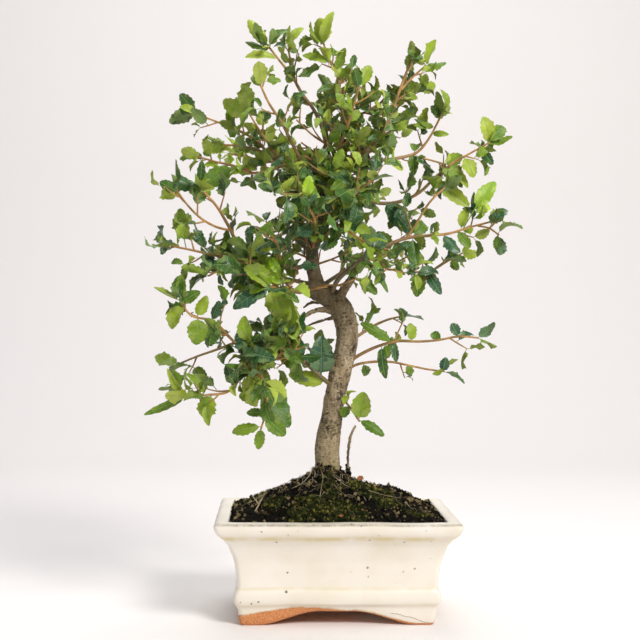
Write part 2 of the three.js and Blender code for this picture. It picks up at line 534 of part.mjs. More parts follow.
const BRANCHES = [
  branch("branch_right_top", "tree_trunk",
    stem([[-10, 301, 4], [0, 314, -4], [5, 322, -6], [9, 330, -8], [15, 337, -9], [23, 344, -9],
      [30, 351, -8], [36, 363, -8], [40, 373, -8], [44, 384, -7], [47, 393, -7], [51, 403, -6],
      [55, 414, -5]], [2.3, 0.8], 4, 0.22),
    stem([[47, 390, -7], [54, 398, -2], [66, 409, 6]], [1, 0.7], 1, 0.3)),
  branch("branch_right_high", "branch_right_top",
    stem([[13, 336, -9], [23, 336, -8], [30, 336, -6], [40, 337, -4], [47, 338, -2], [55, 340, 0],
      [61, 343, 2], [65, 346, 3], [69, 353, 3], [72, 359, 3], [75, 366, 2], [77, 369, 2]],
      [1.7, 0.7], 3, 0.22,
      [[0.55, 57, 324, 8, 0.1], [1, 70, 378, 8, 0.1], [0.83, 84, 356, 5, 0.1], [0.9, 57, 363, 6, 0.1]]),
    stem([[53, 340, 0], [59, 340, 4], [70, 336, 8], [82, 333, 12]], [0.9, 0.7], 1, 0.3)),
  branch("shoot_front_high", "branch_right_top",
    stem([[14, 336, -10], [20, 344, -20], [28, 350, -26], [36, 357, -30], [45, 362, -34]],
      [1.4, 0.8], 2, 0.3)),
  branch("branch_left_front", "tree_trunk",
    stem([[-10, 301, 4], [-23, 322, -8], [-27, 330, -12], [-32, 340, -16], [-37, 350, -20],
      [-42, 359, -24], [-46, 367, -26], [-51, 374, -28], [-56, 382, -29], [-61, 393, -30]],
      [1.9, 0.8], 3, 0.22)),
  branch("branch_left_high", "tree_trunk",
    stem([[-10, 322, 3], [-30, 330, 14], [-45, 334, 20], [-54, 338, 23], [-62, 343, 25],
      [-72, 345, 26], [-79, 347, 26], [-89, 347, 26]], [2, 0.8], 3, 0.22),
    stem([[-46, 335, 20], [-59, 355, 12], [-65, 363, 10], [-70, 372, 8]], [1.2, 0.7], 2, 0.3)),
  branch("shoot_left_long", "branch_left_high",
    stem([[-54, 338, 23], [-62, 349, 28], [-70, 354, 30], [-79, 359, 32], [-91, 363, 34],
      [-103, 368, 35], [-112, 371, 36]], [1.3, 0.7], 1, 0.4,
      [[1, -123, 376, 7, 0.1], [0.6, -85, 376, 8, 0.1]])),
  branch("shoot_left_high", "branch_left_high",
    stem([[-40, 333, 18], [-54, 327, 14], [-64, 325, 12], [-72, 327, 12], [-79, 330, 12],
      [-89, 334, 13], [-97, 334, 14], [-109, 338, 15]], [1.3, 0.7], 2, 0.3,
      [[0.6, -105, 315, 15, 0.12], [1, -112, 339, 9, 0.1], [0.95, -107, 314, 7, 0.1]])),
  branch("branch_top_left", "tree_trunk",
    stem([[-10, 348, 1], [-16, 368, 8], [-22, 377, 11], [-30, 388, 14], [-37, 400, 16], [-45, 410, 17],
      [-53, 420, 16], [-56, 424, 16]], [1.8, 0.8], 3, 0.22,
      [[1, -71, 443, 10, 0.1], [0.98, -40, 435, 9, 0.1], [0.95, -73, 426, 7, 0.1],
        [0.85, -73, 414, 8, 0.1]]),
    stem([[-34, 396, 15], [-37, 405, 21], [-39, 416, 26], [-40, 426, 28]], [1, 0.7], 1, 0.3,
      [[1, -28, 437, 7, 0.1]])),
  branch("branch_top", "tree_trunk",
    stem([[-9, 346, 0], [-1, 360, -3], [5, 373, -6], [3, 380, -7], [-1, 390, -6], [-2, 401, -5],
      [-7, 410, -3], [-11, 419, -1], [-13, 426, 0]], [2.2, 0.8], 3, 0.22,
      [[1, -16, 445, 14, 0.1], [0.97, -5, 450, 9, 0.1], [0.8, -29, 416, 7, 0.1],
        [0.72, 4, 422, 7, 0.1]]),
    stem([[4, 372, -6], [15, 371, 4], [20, 374, 8], [32, 380, 12], [43, 387, 14]],
      [1.2, 0.7], 2, 0.3)),
  branch("branch_front_top", "tree_trunk",
    stem([[-10, 327, 2], [-1, 336, -14], [1, 350, -22], [5, 359, -26], [7, 367, -29], [10, 376, -33],
      [13, 386, -36], [15, 393, -38]], [2, 0.8], 3, 0.22)),
  branch("branch_left_low", "tree_trunk",
    stem([[-19, 258, 8], [-30, 253, 0], [-43, 255, -8], [-53, 256, -12], [-68, 258, -18],
      [-79, 258, -21], [-89, 260, -23], [-99, 263, -26], [-109, 265, -30], [-118, 267, -33],
      [-129, 269, -36]], [1.9, 0.7], 3, 0.22,
      [[0.9, -122, 298, 11, 0.25], [0.93, -136, 274, 3, 0.1]]),
    stem([[-75, 258, -20], [-85, 254, -26], [-91, 251, -30], [-100, 246, -34]], [1, 0.7], 1, 0.3)),
  branch("shoot_left_rising", "branch_left_low",
    stem([[-68, 258, -18], [-76, 268, -24], [-85, 285, -32], [-95, 301, -40], [-103, 309, -44],
      [-106, 313, -45]], [1.6, 0.8], 2, 0.3),
    stem([[-83, 281, -30], [-93, 283, -38], [-100, 289, -44], [-109, 291, -48], [-113, 296, -50],
      [-125, 312, -54]], [1, 0.7], 1, 0.3)),
  branch("branch_left_bottom", "tree_trunk",
    stem([[-4, 162, -4], [-14, 170, -12], [-23, 178, -18], [-33, 186, -24], [-45, 185, -30],
      [-56, 181, -34], [-64, 180, -38], [-72, 171, -44], [-79, 163, -48], [-85, 157, -52],
      [-99, 155, -56], [-106, 154, -58], [-117, 153, -60]], [1.8, 0.7], 3, 0.22,
      [[0.1, -13, 201, 19, 0.12], [0.05, -38, 171, 12, 0.1], [0.42, -46, 189, 15, 0.1],
        [0.86, -103, 137, 15, 0.1], [1, -131, 175, 6, 0.1], [0.99, -149, 139, 6, 0.12],
        [0.72, -86, 178, 8, 0.12], [0.9, -117, 171, 6, 0.1]])),
  branch("shoot_left_round", "branch_left_bottom",
    stem([[-54, 181, -34], [-66, 185, -31], [-76, 192, -30], [-82, 198, -31], [-85, 201, -32],
      [-89, 208, -35], [-95, 211, -37], [-103, 214, -40], [-114, 216, -43], [-122, 220, -45],
      [-122, 228, -46]], [1.4, 0.7], 1, 0.3,
      [[1, -121, 247, 8, 0.08], [0.97, -106, 234, 9, 0.08], [0.93, -128, 205, 12, 0.08],
        [0.75, -101, 231, 9, 0.1], [0.62, -91, 227, 9, 0.1], [0.74, -109, 193, 15, 0.1],
        [0.6, -99, 192, 12, 0.1]])),
  branch("shoot_left_flat", "shoot_left_round",
    stem([[-79, 195, -30], [-89, 192, -25], [-96, 188, -21], [-103, 186, -18], [-114, 182, -14],
      [-123, 178, -10]], [1.1, 0.7], 1, 0.3)),
  branch("shoot_hanging", "branch_left_bottom",
    stem([[-62, 180, -37], [-58, 167, -40], [-54, 152, -41], [-56, 138, -42], [-59, 128, -43]],
      [1.3, 0.7], 0, 0.5,
      [[0.25, -37, 130, 19, 0.12], [1, -61, 113, 8, 0.1], [0.95, -81, 126, 9, 0.1],
        [0.8, -40, 124, 12, 0.1], [0.55, -50, 133, 11, 0.12], [0.5, -76, 154, 10, 0.1],
        [0.2, -72, 156, 13, 0.1], [0.75, -70, 141, 7, 0.1]])),
  branch("branch_left_middle", "tree_trunk",
    stem([[-19, 237, 3], [-31, 234, -12], [-41, 236, -24], [-53, 238, -36]], [1.8, 1], 1, 0.3,
      [[0.45, -44, 194, 23, 0.28], [0.9, -30, 226, 8, 0.08], [1, -73, 253, 15, 0.08],
        [0.95, -40, 214, 20, 0.08], [1, -81, 221, 13, 0.1]])),
  branch("branch_right_long", "tree_trunk",
    stem([[-6, 231, 0], [-1, 243, -9], [7, 251, -12], [17, 259, -13], [26, 265, -15], [36, 270, -16],
      [45, 274, -17], [56, 277, -17], [78, 279, -18], [89, 281, -18], [101, 285, -18], [109, 286, -18],
      [116, 289, -18]], [2.1, 0.7], 3, 0.22,
      [[0.3, 38, 234, 7, 0.1], [0.58, 60, 254, 10, 0.1], [0.85, 120, 320, 12, 0.45],
        [0.84, 100, 300, 8, 0.1], [0.82, 101, 269, 8, 0.1], [0.74, 93, 265, 11, 0.1]]),
    stem([[107, 286, -18], [116, 284, -24], [123, 279, -28]], [0.8, 0.7], 1, 0.5,
      [[1, 122, 267, 6, 0.1]])),
  branch("shoot_right_upright", "branch_right_long",
    stem([[52, 276, -17], [61, 290, -22], [66, 299, -25], [74, 309, -28], [82, 316, -30]],
      [1.1, 0.7], 1, 0.3)),
  branch("shoot_right_drooping", "branch_right_long",
    stem([[34, 269, -16], [41, 262, -14], [47, 258, -12], [56, 251, -8], [69, 251, 2], [78, 255, 8],
      [87, 261, 14], [95, 265, 18]], [1.3, 0.7], 1, 0.5,
      [[0.5, 60, 231, 12, 0.1], [0.55, 79, 233, 9, 0.1], [0.85, 92, 252, 7, 0.1]])),
  branch("branch_right_middle", "tree_trunk",
    stem([[-10, 303, 4], [0, 313, 8], [9, 309, 12], [17, 307, 14], [24, 304, 16], [32, 303, 17],
      [43, 304, 18], [50, 305, 18], [60, 310, 16], [70, 320, 14], [83, 330, 12], [89, 336, 10],
      [101, 342, 8], [109, 347, 7], [115, 350, 6]], [2, 0.7], 3, 0.22,
      [[0.36, 56, 279, 14, 0.08], [0.08, 18, 288, 20, 0.08], [1, 110, 370, 12, 0.1],
        [0.99, 133, 355, 7, 0.08], [0.95, 118, 333, 7, 0.1], [0.78, 93, 324, 10, 0.1],
        [0.85, 103, 323, 12, 0.1], [0.74, 99, 315, 9, 0.1], [0.66, 100, 301, 12, 0.1]]),
    stem([[41, 304, 18], [50, 297, 26], [56, 291, 32]], [0.9, 0.7], 1, 0.4)),
  branch("shoot_right_low", "tree_trunk",
    stem([[7, 180, -4], [14, 185, -9], [26, 191, -12], [36, 195, -15], [43, 197, -16], [56, 197, -18],
      [69, 197, -19], [82, 199, -20], [93, 201, -21], [101, 201, -22], [108, 200, -23]],
      [1.4, 0.7], 1, 0.8,
      [[0.38, 17, 211, 8, 0.08], [0.52, 55, 211, 9, 0.1], [0.86, 87, 211, 8, 0.1],
        [0.3, 37, 168, 8, 0.1], [0.4, 45, 181, 6, 0.1], [0.68, 76, 205, 8, 0.1],
        [0.33, 39, 184, 6, 0.1]])),
  branch("shoot_right_second", "tree_trunk",
    stem([[3, 170, -3], [11, 177, 4], [18, 180, 8], [28, 181, 11], [41, 181, 14], [51, 179, 17],
      [59, 178, 19], [66, 176, 20], [82, 174, 22]], [1.2, 0.7], 1, 0.7,
      [[1, 83, 185, 8, 0.1], [0.92, 78, 171, 9, 0.1], [0.7, 54, 172, 7, 0.1],
        [0.25, 21, 170, 8, 0.1]])),
  branch("shoot_right_bottom", "tree_trunk",
    stem([[-1, 157, -3], [6, 152, -9], [10, 144, -14], [17, 135, -18]], [1.1, 0.7], 0, 0.5,
      [[0.95, 20, 158, 15, 0.1], [1, 36, 124, 8, 0.1], [0.5, 4, 138, 8, 0.12]])),
  branch("shoot_front_middle", "tree_trunk",
    stem([[-11, 294, 6], [-7, 290, -10], [1, 285, -24], [9, 280, -34], [15, 275, -40], [20, 273, -44]],
      [1.6, 0.8], 2, 0.3)),
  // Towards the front
  branch("shoot_front_1", "tree_trunk",
    stem([[-19, 268, 9], [-20, 279, -22], [-18, 288, -48], [-22, 297, -72]], [1.6, 0.8], 3, 0.3)),
  branch("shoot_front_2", "tree_trunk",
    stem([[-10, 318, 2], [-22, 312, -26], [-38, 309, -50], [-50, 312, -68]], [1.6, 0.8], 3, 0.3)),
  branch("shoot_front_3", "tree_trunk",
    stem([[-10, 308, 3], [4, 312, -32], [14, 314, -54], [26, 320, -72]], [1.5, 0.8], 3, 0.3)),
  branch("shoot_front_4", "branch_left_low",
    stem([[-45, 255, -9], [-46, 266, -34], [-50, 276, -54], [-56, 281, -68]], [1.3, 0.8], 2, 0.3)),
  branch("shoot_front_5", "branch_right_long",
    stem([[20, 261, -14], [30, 259, -36], [38, 252, -54], [44, 252, -66]], [1.3, 0.8], 1, 0.3)),
  // Towards the back
  branch("branch_back_1", "tree_trunk",
    stem([[-19, 262, 8], [-30, 272, 38], [-44, 282, 66], [-56, 288, 90]], [2, 0.8], 3, 0.22)),
  branch("branch_back_2", "tree_trunk",
    stem([[-13, 286, 7], [2, 296, 36], [16, 306, 62], [30, 310, 88]], [2, 0.8], 3, 0.22)),
  branch("branch_back_3", "tree_trunk",
    stem([[-10, 309, 4], [-22, 318, 38], [-30, 330, 66], [-36, 338, 90]], [1.8, 0.8], 3, 0.22)),
  branch("branch_back_4", "tree_trunk",
    stem([[-10, 328, 2], [6, 344, 28], [24, 354, 52], [38, 360, 72]], [1.7, 0.8], 3, 0.22)),
  branch("branch_back_5", "tree_trunk",
    stem([[-9, 344, 0], [-10, 366, 24], [-4, 384, 44], [2, 398, 58]], [1.6, 0.8], 3, 0.3)),
  branch("branch_back_6", "tree_trunk",
    stem([[-14, 238, 4], [4, 250, 28], [26, 260, 52], [46, 266, 76]], [1.9, 0.8], 3, 0.22)),
  branch("branch_back_7", "tree_trunk",
    stem([[-19, 240, 5], [-38, 244, 30], [-58, 250, 54], [-78, 256, 74]], [1.9, 0.8], 3, 0.22)),
  branch("shoot_back_8", "branch_left_high",
    stem([[-46, 335, 20], [-58, 334, 44], [-70, 338, 64], [-80, 340, 80]], [1.2, 0.8], 1, 0.35)),
  branch("branch_back_9", "tree_trunk",
    stem([[1, 167, -2], [-14, 184, 24], [-34, 198, 44], [-58, 206, 60]], [1.6, 0.8], 3, 0.3)),
  branch("branch_back_10", "tree_trunk",
    stem([[5, 194, -3], [20, 204, 24], [34, 212, 46], [48, 216, 66]], [1.6, 0.8], 2, 0.3)),
  branch("shoot_back_11", "branch_right_top",
    stem([[42, 378, -8], [48, 380, 14], [54, 386, 32], [60, 392, 44]], [1.1, 0.8], 1, 0.3)),
];

// The wood and the leaves of one branch.
function growBranch({ stems }, seed) {
  const draw = seeded(seed);
  const wood = [];
  const leaves = [];
  for (const { places, radii, pairs, start, broad } of stems) {
    const line = stemLine(places);
    const sides = radii[0] > 1.7 ? 4 : 3;
    wood.push((grow) => stemSolid(line, radii, sides, grow));
    leaves.push(...broad.map((leaf) => broadLeaf(line, places, leaf, draw)));
    leaves.push(...leafPairs(line, pairs, start, draw));
  }
  return { wood, leaves };
}

// A leaf that would run into another branch is turned round its root, or else left out.
const LEAF_TURNS = [0, 0.45, -0.45, 0.9, -0.9];

function turned(leaf, angle) {
  const axis = leaf.face.clone().normalize();
  const reach = leaf.tip.clone().sub(leaf.root).applyAxisAngle(axis, angle);
  return { ...leaf, tip: leaf.root.clone().add(reach) };
}

function boxOf(solid) {
  const { min, max } = solid.boundingBox();
  return new THREE.Box3(new THREE.Vector3(...min), new THREE.Vector3(...max));
}

function growCrown(trunk, soil, pot) {
  const grownTrunk = makeTrunk(GAP);
  const branches = BRANCHES.map((entry, index) => ({ ...entry, ...growBranch(entry, 101 + index) }));
  const grownWood = new Map([["tree_trunk", grownTrunk]]);
  for (const entry of branches) {
    grownWood.set(entry.name, joined(entry.wood.map((make) => make(GAP))));
    entry.solid = mainBody(joined(entry.wood.map((make) => make(0))).subtract(grownWood.get(entry.from)));
  }
  const obstacles = [trunk, soil, pot].map((solid) => ({ owner: null, solid, box: boxOf(solid) }));
  for (const entry of branches) {
    obstacles.push({ owner: entry, solid: entry.solid, box: boxOf(entry.solid) });
  }
  const isClear = (solid, owner) => {
    const box = boxOf(solid);
    return obstacles.every(
      (other) =>
        other.owner === owner ||
        !other.box.intersectsBox(box) ||
        other.solid.intersect(solid).isEmpty(),
    );
  };
  const meshes = [];
  for (const entry of branches) {
    const blades = [];
    for (const leaf of entry.leaves) {
      const angle = LEAF_TURNS.find((turn) => isClear(leafSolid(turned(leaf, turn), GAP), entry));
      if (angle === undefined) continue;
      const blade = leafSolid(turned(leaf, angle));
      blades.push(blade);
      obstacles.push({ owner: entry, solid: blade, box: boxOf(blade) });
    }
    meshes.push({ name: entry.name, solid: mainBody(joined([entry.solid, ...blades])) });
  }
  return meshes;
}

// The whole object

const CREAM_GLAZE = { color: 0xece4d2, roughness: 0.3, metalness: 0 };
const BLACK_PLASTIC = { color: 0x1c1c1c, roughness: 0.6, metalness: 0 };
const DARK_SOIL = { color: 0x1d1a15, roughness: 1, metalness: 0 };
const GREY_BARK = { color: 0x7b6a54, roughness: 0.9, metalness: 0 };
const OAK_LEAF = { color: 0x47612f, roughness: 0.55, metalness: 0 };

const tree = new THREE.Group();

function addNode(name, solid, finish) {
  const mesh = new THREE.Mesh(geometryOf(solid), new THREE.MeshStandardMaterial(finish));
  mesh.name = name;
  tree.add(mesh);
}

const pot = makePot();
const drainMeshes = [makeDrainMesh(-DRAIN_HOLE_X), makeDrainMesh(DRAIN_HOLE_X)];
const trunk = mainBody(makeTrunk());
const meshPockets = [-DRAIN_HOLE_X, DRAIN_HOLE_X].map((x) => {
  const side = MESH_SIDE + 2 * GAP;
  const depth = MESH_THICKNESS + 2 * GAP;
  return solidOf(new THREE.BoxGeometry(side, side, 2 * depth).translate(x, 0, POT_FLOOR_TOP + GAP));
});
const soil = mainBody(makeSoil().subtract(joined([makeTrunk(GAP), ...meshPockets])));

addNode("pot", pot, CREAM_GLAZE);
addNode("drain_mesh_left", drainMeshes[0], BLACK_PLASTIC);
addNode("drain_mesh_right", drainMeshes[1], BLACK_PLASTIC);
addNode("soil", soil, DARK_SOIL);
addNode("tree_trunk", trunk, GREY_BARK);
for (const { name, solid } of growCrown(trunk, soil, pot)) addNode(name, solid, OAK_LEAF);

// The middle of the footprint box goes to the origin.
const extent = new THREE.Box3().setFromObject(tree);
const footing = extent.getCenter(new THREE.Vector3()).setZ(extent.min.z);
tree.position.copy(footing.negate());
tree.updateMatrixWorld(true);

export default tree;
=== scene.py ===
# %% [markdown]
# # An evergreen oak bonsai in its cream pot
#
# The measured solids already give every piece its size and place. This lesson dresses them: a glazed pot
# with a strip of bare clay, crumbly soil under moss, a trunk with rough bark, and a crown of waved leaves.
# Everything is in metres, +Z up, with the front of the pot towards -Y.

# %% Load the measured solids
import math
import bpy
import numpy as np
from mathutils import Matrix, Vector, noise
from mathutils.kdtree import KDTree


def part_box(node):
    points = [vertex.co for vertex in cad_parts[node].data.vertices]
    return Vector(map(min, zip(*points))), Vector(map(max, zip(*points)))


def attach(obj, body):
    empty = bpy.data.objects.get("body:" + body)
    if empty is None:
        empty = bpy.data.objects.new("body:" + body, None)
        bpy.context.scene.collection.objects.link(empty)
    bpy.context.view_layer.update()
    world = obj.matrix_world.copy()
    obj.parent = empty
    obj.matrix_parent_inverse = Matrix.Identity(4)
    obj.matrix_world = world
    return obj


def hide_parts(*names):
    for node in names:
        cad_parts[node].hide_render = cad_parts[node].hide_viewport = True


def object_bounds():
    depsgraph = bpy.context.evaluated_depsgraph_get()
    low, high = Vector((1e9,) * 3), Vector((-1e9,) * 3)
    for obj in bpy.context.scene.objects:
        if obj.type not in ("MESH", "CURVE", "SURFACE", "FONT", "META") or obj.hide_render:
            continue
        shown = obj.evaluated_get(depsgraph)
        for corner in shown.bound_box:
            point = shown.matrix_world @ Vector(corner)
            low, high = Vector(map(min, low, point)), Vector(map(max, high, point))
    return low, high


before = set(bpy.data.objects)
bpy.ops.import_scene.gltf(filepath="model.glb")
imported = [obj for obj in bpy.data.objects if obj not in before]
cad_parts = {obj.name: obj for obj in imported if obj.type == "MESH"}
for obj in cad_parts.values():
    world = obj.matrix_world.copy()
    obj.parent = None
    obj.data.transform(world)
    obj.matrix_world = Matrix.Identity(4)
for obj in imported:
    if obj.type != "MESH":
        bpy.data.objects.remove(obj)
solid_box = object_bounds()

MM = 0.001
pot_low, pot_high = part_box("pot")
POT_MIDDLE = Vector(((pot_low.x + pot_high.x) / 2, (pot_low.y + pot_high.y) / 2, 0))
print("solids", len(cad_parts), "pot middle in mm", [round(v / MM, 2) for v in POT_MIDDLE])

# %% [markdown]
# ## One way of looking
#
# A photograph fixes where the eye was. The tree was laid out from that eye, so the same eye stands in the
# scene: 930 mm in front of the trunk, a little left of the pot's middle, 224 mm above the table. The pot is
# turned by two degrees, which shows as the slope of its rim. A long lens keeps the pot's sides calm.

# %% Camera at the eye of the photograph
EYE_ACROSS = -12.6
EYE_HEIGHT = 224
EYE_DISTANCE = 930
TREE_TURN = math.radians(-2)
TREE_ACROSS = 1.4
TREE_RISE = 10.1
LENS = 68.1
TILT_DOWN = math.radians(0.064)
ROLL = math.radians(0.4)


def from_eye_frame(across, behind, up):
    """A place in millimetres, seen straight from the front, as millimetres from the pot's middle."""
    return Matrix.Rotation(TREE_TURN, 3, "Z") @ Vector((across, behind, up))


def in_front(across, up, behind):
    """A place of the tree's layout, spread out from the eye as far as it lies behind the trunk."""
    spread = 1 + behind / EYE_DISTANCE
    return from_eye_frame(
        EYE_ACROSS + (across + TREE_ACROSS - EYE_ACROSS) * spread,
        behind,
        EYE_HEIGHT + (up + TREE_RISE - EYE_HEIGHT) * spread,
    )


def in_scene(place):
    """Millimetres from the pot's middle as a point of the scene, in metres."""
    return place * MM + POT_MIDDLE


camera = bpy.data.objects.new("camera", bpy.data.cameras.new("camera"))
bpy.context.scene.collection.objects.link(camera)
camera.data.lens = LENS
camera.data.sensor_width = 36
camera.data.clip_start = 0.05
camera.matrix_world = (
    Matrix.Translation(in_scene(from_eye_frame(EYE_ACROSS, -EYE_DISTANCE, EYE_HEIGHT)))
    @ Matrix.Rotation(TREE_TURN, 4, "Z")
    @ Matrix.Rotation(math.radians(90) - TILT_DOWN, 4, "X")
    @ Matrix.Rotation(ROLL, 4, "Z")
)
bpy.context.scene.camera = camera
bpy.context.scene.view_settings.view_transform = "Standard"
print("camera at", [round(v, 3) for v in camera.location])

# %% [markdown]
# ## Small helpers
#
# Paint colours are written as they look on a screen, in hex. The renderer adds up light, so it wants them
# linear. One function makes that change for every colour. One more function adds a node to a shader or to a
# geometry tree, with its settings and its links, so that a material reads as a list of steps.

# %% Colours and nodes
def paint(hex_text):
    """An sRGB hex colour as linear red, green, blue and alpha."""
    shares = [int(hex_text[start:start + 2], 16) / 255 for start in (0, 2, 4)]
    return (*[s / 12.92 if s <= 0.04045 else ((s + 0.055) / 1.055) ** 2.4 for s in shares], 1.0)


def per(size_mm):
    """How many cells of this size fit in a metre, which is what a texture calls its scale."""
    return 1 / (size_mm * MM)


def feed(node, inputs):
    """Gives inputs of a node a value, a hex colour, or a link from a node or from one of its sockets."""
    for key, value in inputs.items():
        sockets = [socket for socket in node.inputs if socket.enabled]
        if isinstance(key, str):
            socket = next(s for s in sockets if s.identifier == key or s.name == key.replace("_", " "))
        else:
            socket = sockets[key]
        if isinstance(value, bpy.types.Node):
            value = next(s for s in value.outputs if s.enabled)
        if isinstance(value, bpy.types.NodeSocket):
            node.id_data.links.new(value, socket)
        else:
            socket.default_value = paint(value) if socket.type == "RGBA" and isinstance(value, str) else value


# Short words for the nodes that come back often, with what they are usually set to.
KINDS = {
    "noise": ("ShaderNodeTexNoise", {"Detail": 3.0, "Roughness": 0.6}),
    "kept": ("ShaderNodeAttribute", {}),
    "within": ("ShaderNodeMapRange", {"interpolation_type": "SMOOTHSTEP"}),
    "blend": ("ShaderNodeMix", {"data_type": "RGBA"}),
    "ramp": ("ShaderNodeValToRGB", {}),
    "bump": ("ShaderNodeBump", {}),
    "vector": ("ShaderNodeVectorMath", {}),
    "number": ("GeometryNodeInputNamedAttribute", {"data_type": "FLOAT"}),
    "random": ("FunctionNodeRandomValue", {}),
}


def node_adder(tree):
    """Gives the one function that adds nodes to a tree.

    The kind is a word from the list above, a node's own name, or an operation of the math node. What comes
    after it goes to the inputs in their order. A name with a capital is an input too, others are settings.
    """
    def add(kind, *first, stops=(), **words):
        other = (kind, {}) if "Node" in kind else ("ShaderNodeMath", {"operation": kind})
        full_name, usual = KINDS.get(kind, other)
        words = {**usual, **words}
        node = tree.nodes.new(full_name)
        for name in [word for word in words if word[0].islower()]:
            setattr(node, name, words.pop(name))
        feed(node, {**words, **dict(enumerate(first))})
        if stops:
            marks = node.color_ramp.elements
            while len(marks) < len(stops):
                marks.new(0.5)
            for mark, (place, tint) in zip(marks, stops.items()):
                mark.position, mark.color = place, paint(tint)
        return node

    return add


def new_material(name, **values):
    """A material, its shader, the function that adds its nodes, and the place on the piece in metres."""
    material = bpy.data.materials.new(name)
    material.use_nodes = True
    shader = material.node_tree.nodes["Principled BSDF"]
    feed(shader, values)
    add = node_adder(material.node_tree)
    return material, shader, add, add("ShaderNodeTexCoord").outputs["Object"]


def layered(add, base, *layers):
    """Lays colours over a base colour, each by its own share."""
    for share, tint in layers:
        base = add("blend", share, base, tint)
    return base


print("kinds of node with a short word", len(KINDS))

# %% [markdown]
# A piece is made from points and faces, or by a geometry tree that runs as a modifier. A tree reads values
# that are stored on the points. The renderer's export drops what only a modifier shows, so every tree is
# turned into plain mesh at once.

# %% Objects, stored values and geometry trees
def put_in_scene(name, data):
    made = bpy.data.objects.new(name, data)
    bpy.context.scene.collection.objects.link(made)
    return made


def new_object(name, points, faces, material=None, smooth=True, edges=()):
    """A mesh object at the origin. Points are in metres."""
    mesh = bpy.data.meshes.new(name)
    mesh.from_pydata([tuple(p) for p in points], edges, faces)
    mesh.update()
    mesh.polygons.foreach_set("use_smooth", [smooth] * len(mesh.polygons))
    if material:
        mesh.materials.append(material)
    return put_in_scene(name, mesh)


def ring_faces(around, rings, start=0):
    """Faces between each ring of points and the next."""
    return [
        (a + i, a + (i + 1) % around, a + around + (i + 1) % around, a + around + i)
        for a in range(start, start + (rings - 1) * around, around)
        for i in range(around)
    ]


def closed_ring_faces(around, rings):
    """The same, with both ends closed to the two points that follow the rings."""
    faces = ring_faces(around, rings)
    for i in range(around):
        j = (i + 1) % around
        last = (rings - 1) * around
        faces += [(rings * around, j, i), (rings * around + 1, last + i, last + j)]
    return faces


def store(made, name, values, kind="FLOAT", domain="POINT"):
    """Keeps one value for each point or face of a mesh, for its material or its geometry tree to read."""
    layer = made.data.attributes.new(name, kind, domain)
    key = "vector" if kind == "FLOAT_VECTOR" else "value"
    layer.data.foreach_set(key, np.asarray(values, np.int32 if kind == "INT" else np.float32).ravel())


def finish_piece(made, slot, *nodes):
    """Fixes a finished piece to the body and hides the solids that it stands for. The slot is not used."""
    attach(made, "root")
    if nodes:
        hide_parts(*nodes)
    made.data.calc_loop_triangles()
    places = [v.co for v in made.data.vertices]
    low, high = ([round(v / MM, 1) for v in end(places, axis=0)] for end in (np.min, np.max))
    print(made.name, "triangles", len(made.data.loop_triangles), "box in mm", low, high)


def seeded(seed):
    """The run of numbers from 0 to 1 that also laid out the solids."""
    state = seed

    def draw():
        nonlocal state
        state = (state * 1664525 + 1013904223) % 4294967296
        return state / 4294967296

    return draw


def as_plain_mesh(made, name):
    """Replaces an object that has modifiers by the plain mesh that they make."""
    graph = bpy.context.evaluated_depsgraph_get()
    mesh = bpy.data.meshes.new_from_object(made.evaluated_get(graph))
    mesh.name = name
    bpy.data.objects.remove(made)
    return put_in_scene(name, mesh)


def geometry_tree(name, **inputs):
    """A geometry tree with named inputs, the function that adds its nodes, its inputs and its end."""
    tree = bpy.data.node_groups.new(name, "GeometryNodeTree")
    for title, kind in {"Geometry": "Geometry", **inputs}.items():
        tree.interface.new_socket(title, in_out="INPUT", socket_type="NodeSocket" + kind)
    tree.interface.new_socket("Geometry", in_out="OUTPUT", socket_type="NodeSocketGeometry")
    add = node_adder(tree)
    return tree, add, add("NodeGroupInput").outputs, add("NodeGroupOutput")


def end_tree(add, sink, geometry, material):
    """The last step of a tree gives the faces their material."""
    feed(sink, {"Geometry": add("GeometryNodeSetMaterial", Geometry=geometry, Material=material)})


def run_tree(made, tree, name, **values):
    """Runs a geometry tree on an object, with values for its named inputs, and keeps the plain result."""
    modifier = made.modifiers.new(tree.name, "NODES")
    modifier.node_group = tree
    for item in tree.interface.items_tree:
        if item.in_out == "INPUT" and item.name in values:
            modifier[item.identifier] = values[item.name]
    return as_plain_mesh(made, name)


def set_of_shapes(name, shapes):
    """A collection of template objects, kept out of the scene, for a tree to pick from."""
    group = bpy.data.collections.new(name)
    for shape in shapes:
        for holder in list(shape.users_collection):
            holder.objects.unlink(shape)
        group.objects.link(shape)
    return group


# %% [markdown]
# ## The table and the light
#
# The plant stands on a plain pale sheet that curves up behind it, as in a small studio. Most of the light
# comes from a wide window at the right and above, and the pale room fills the shadows.

# %% Sheet and lamps
SHEET_HALF_WIDTH = 2.5
SHEET_FRONT = -1.6
SHEET_BEND = 0.9
SHEET_RADIUS = 0.5
SHEET_TOP = 2.4

paper = new_material("matt paper", Base_Color="f0eceb", Roughness=0.9)[0]
arc = [
    (SHEET_BEND + SHEET_RADIUS * math.sin(a), SHEET_RADIUS * (1 - math.cos(a)))
    for a in np.linspace(0, math.pi / 2, 16)
]
outline = [(SHEET_FRONT, 0), *arc, (SHEET_BEND + SHEET_RADIUS, SHEET_TOP)]
sheet_points = [(x, y, z) for y, z in outline for x in (-SHEET_HALF_WIDTH, SHEET_HALF_WIDTH)]
sheet_faces = [(i, i + 1, i + 3, i + 2) for i in range(0, 2 * len(outline) - 2, 2)]
sheet = new_object("paper_sheet", sheet_points, sheet_faces, paper)


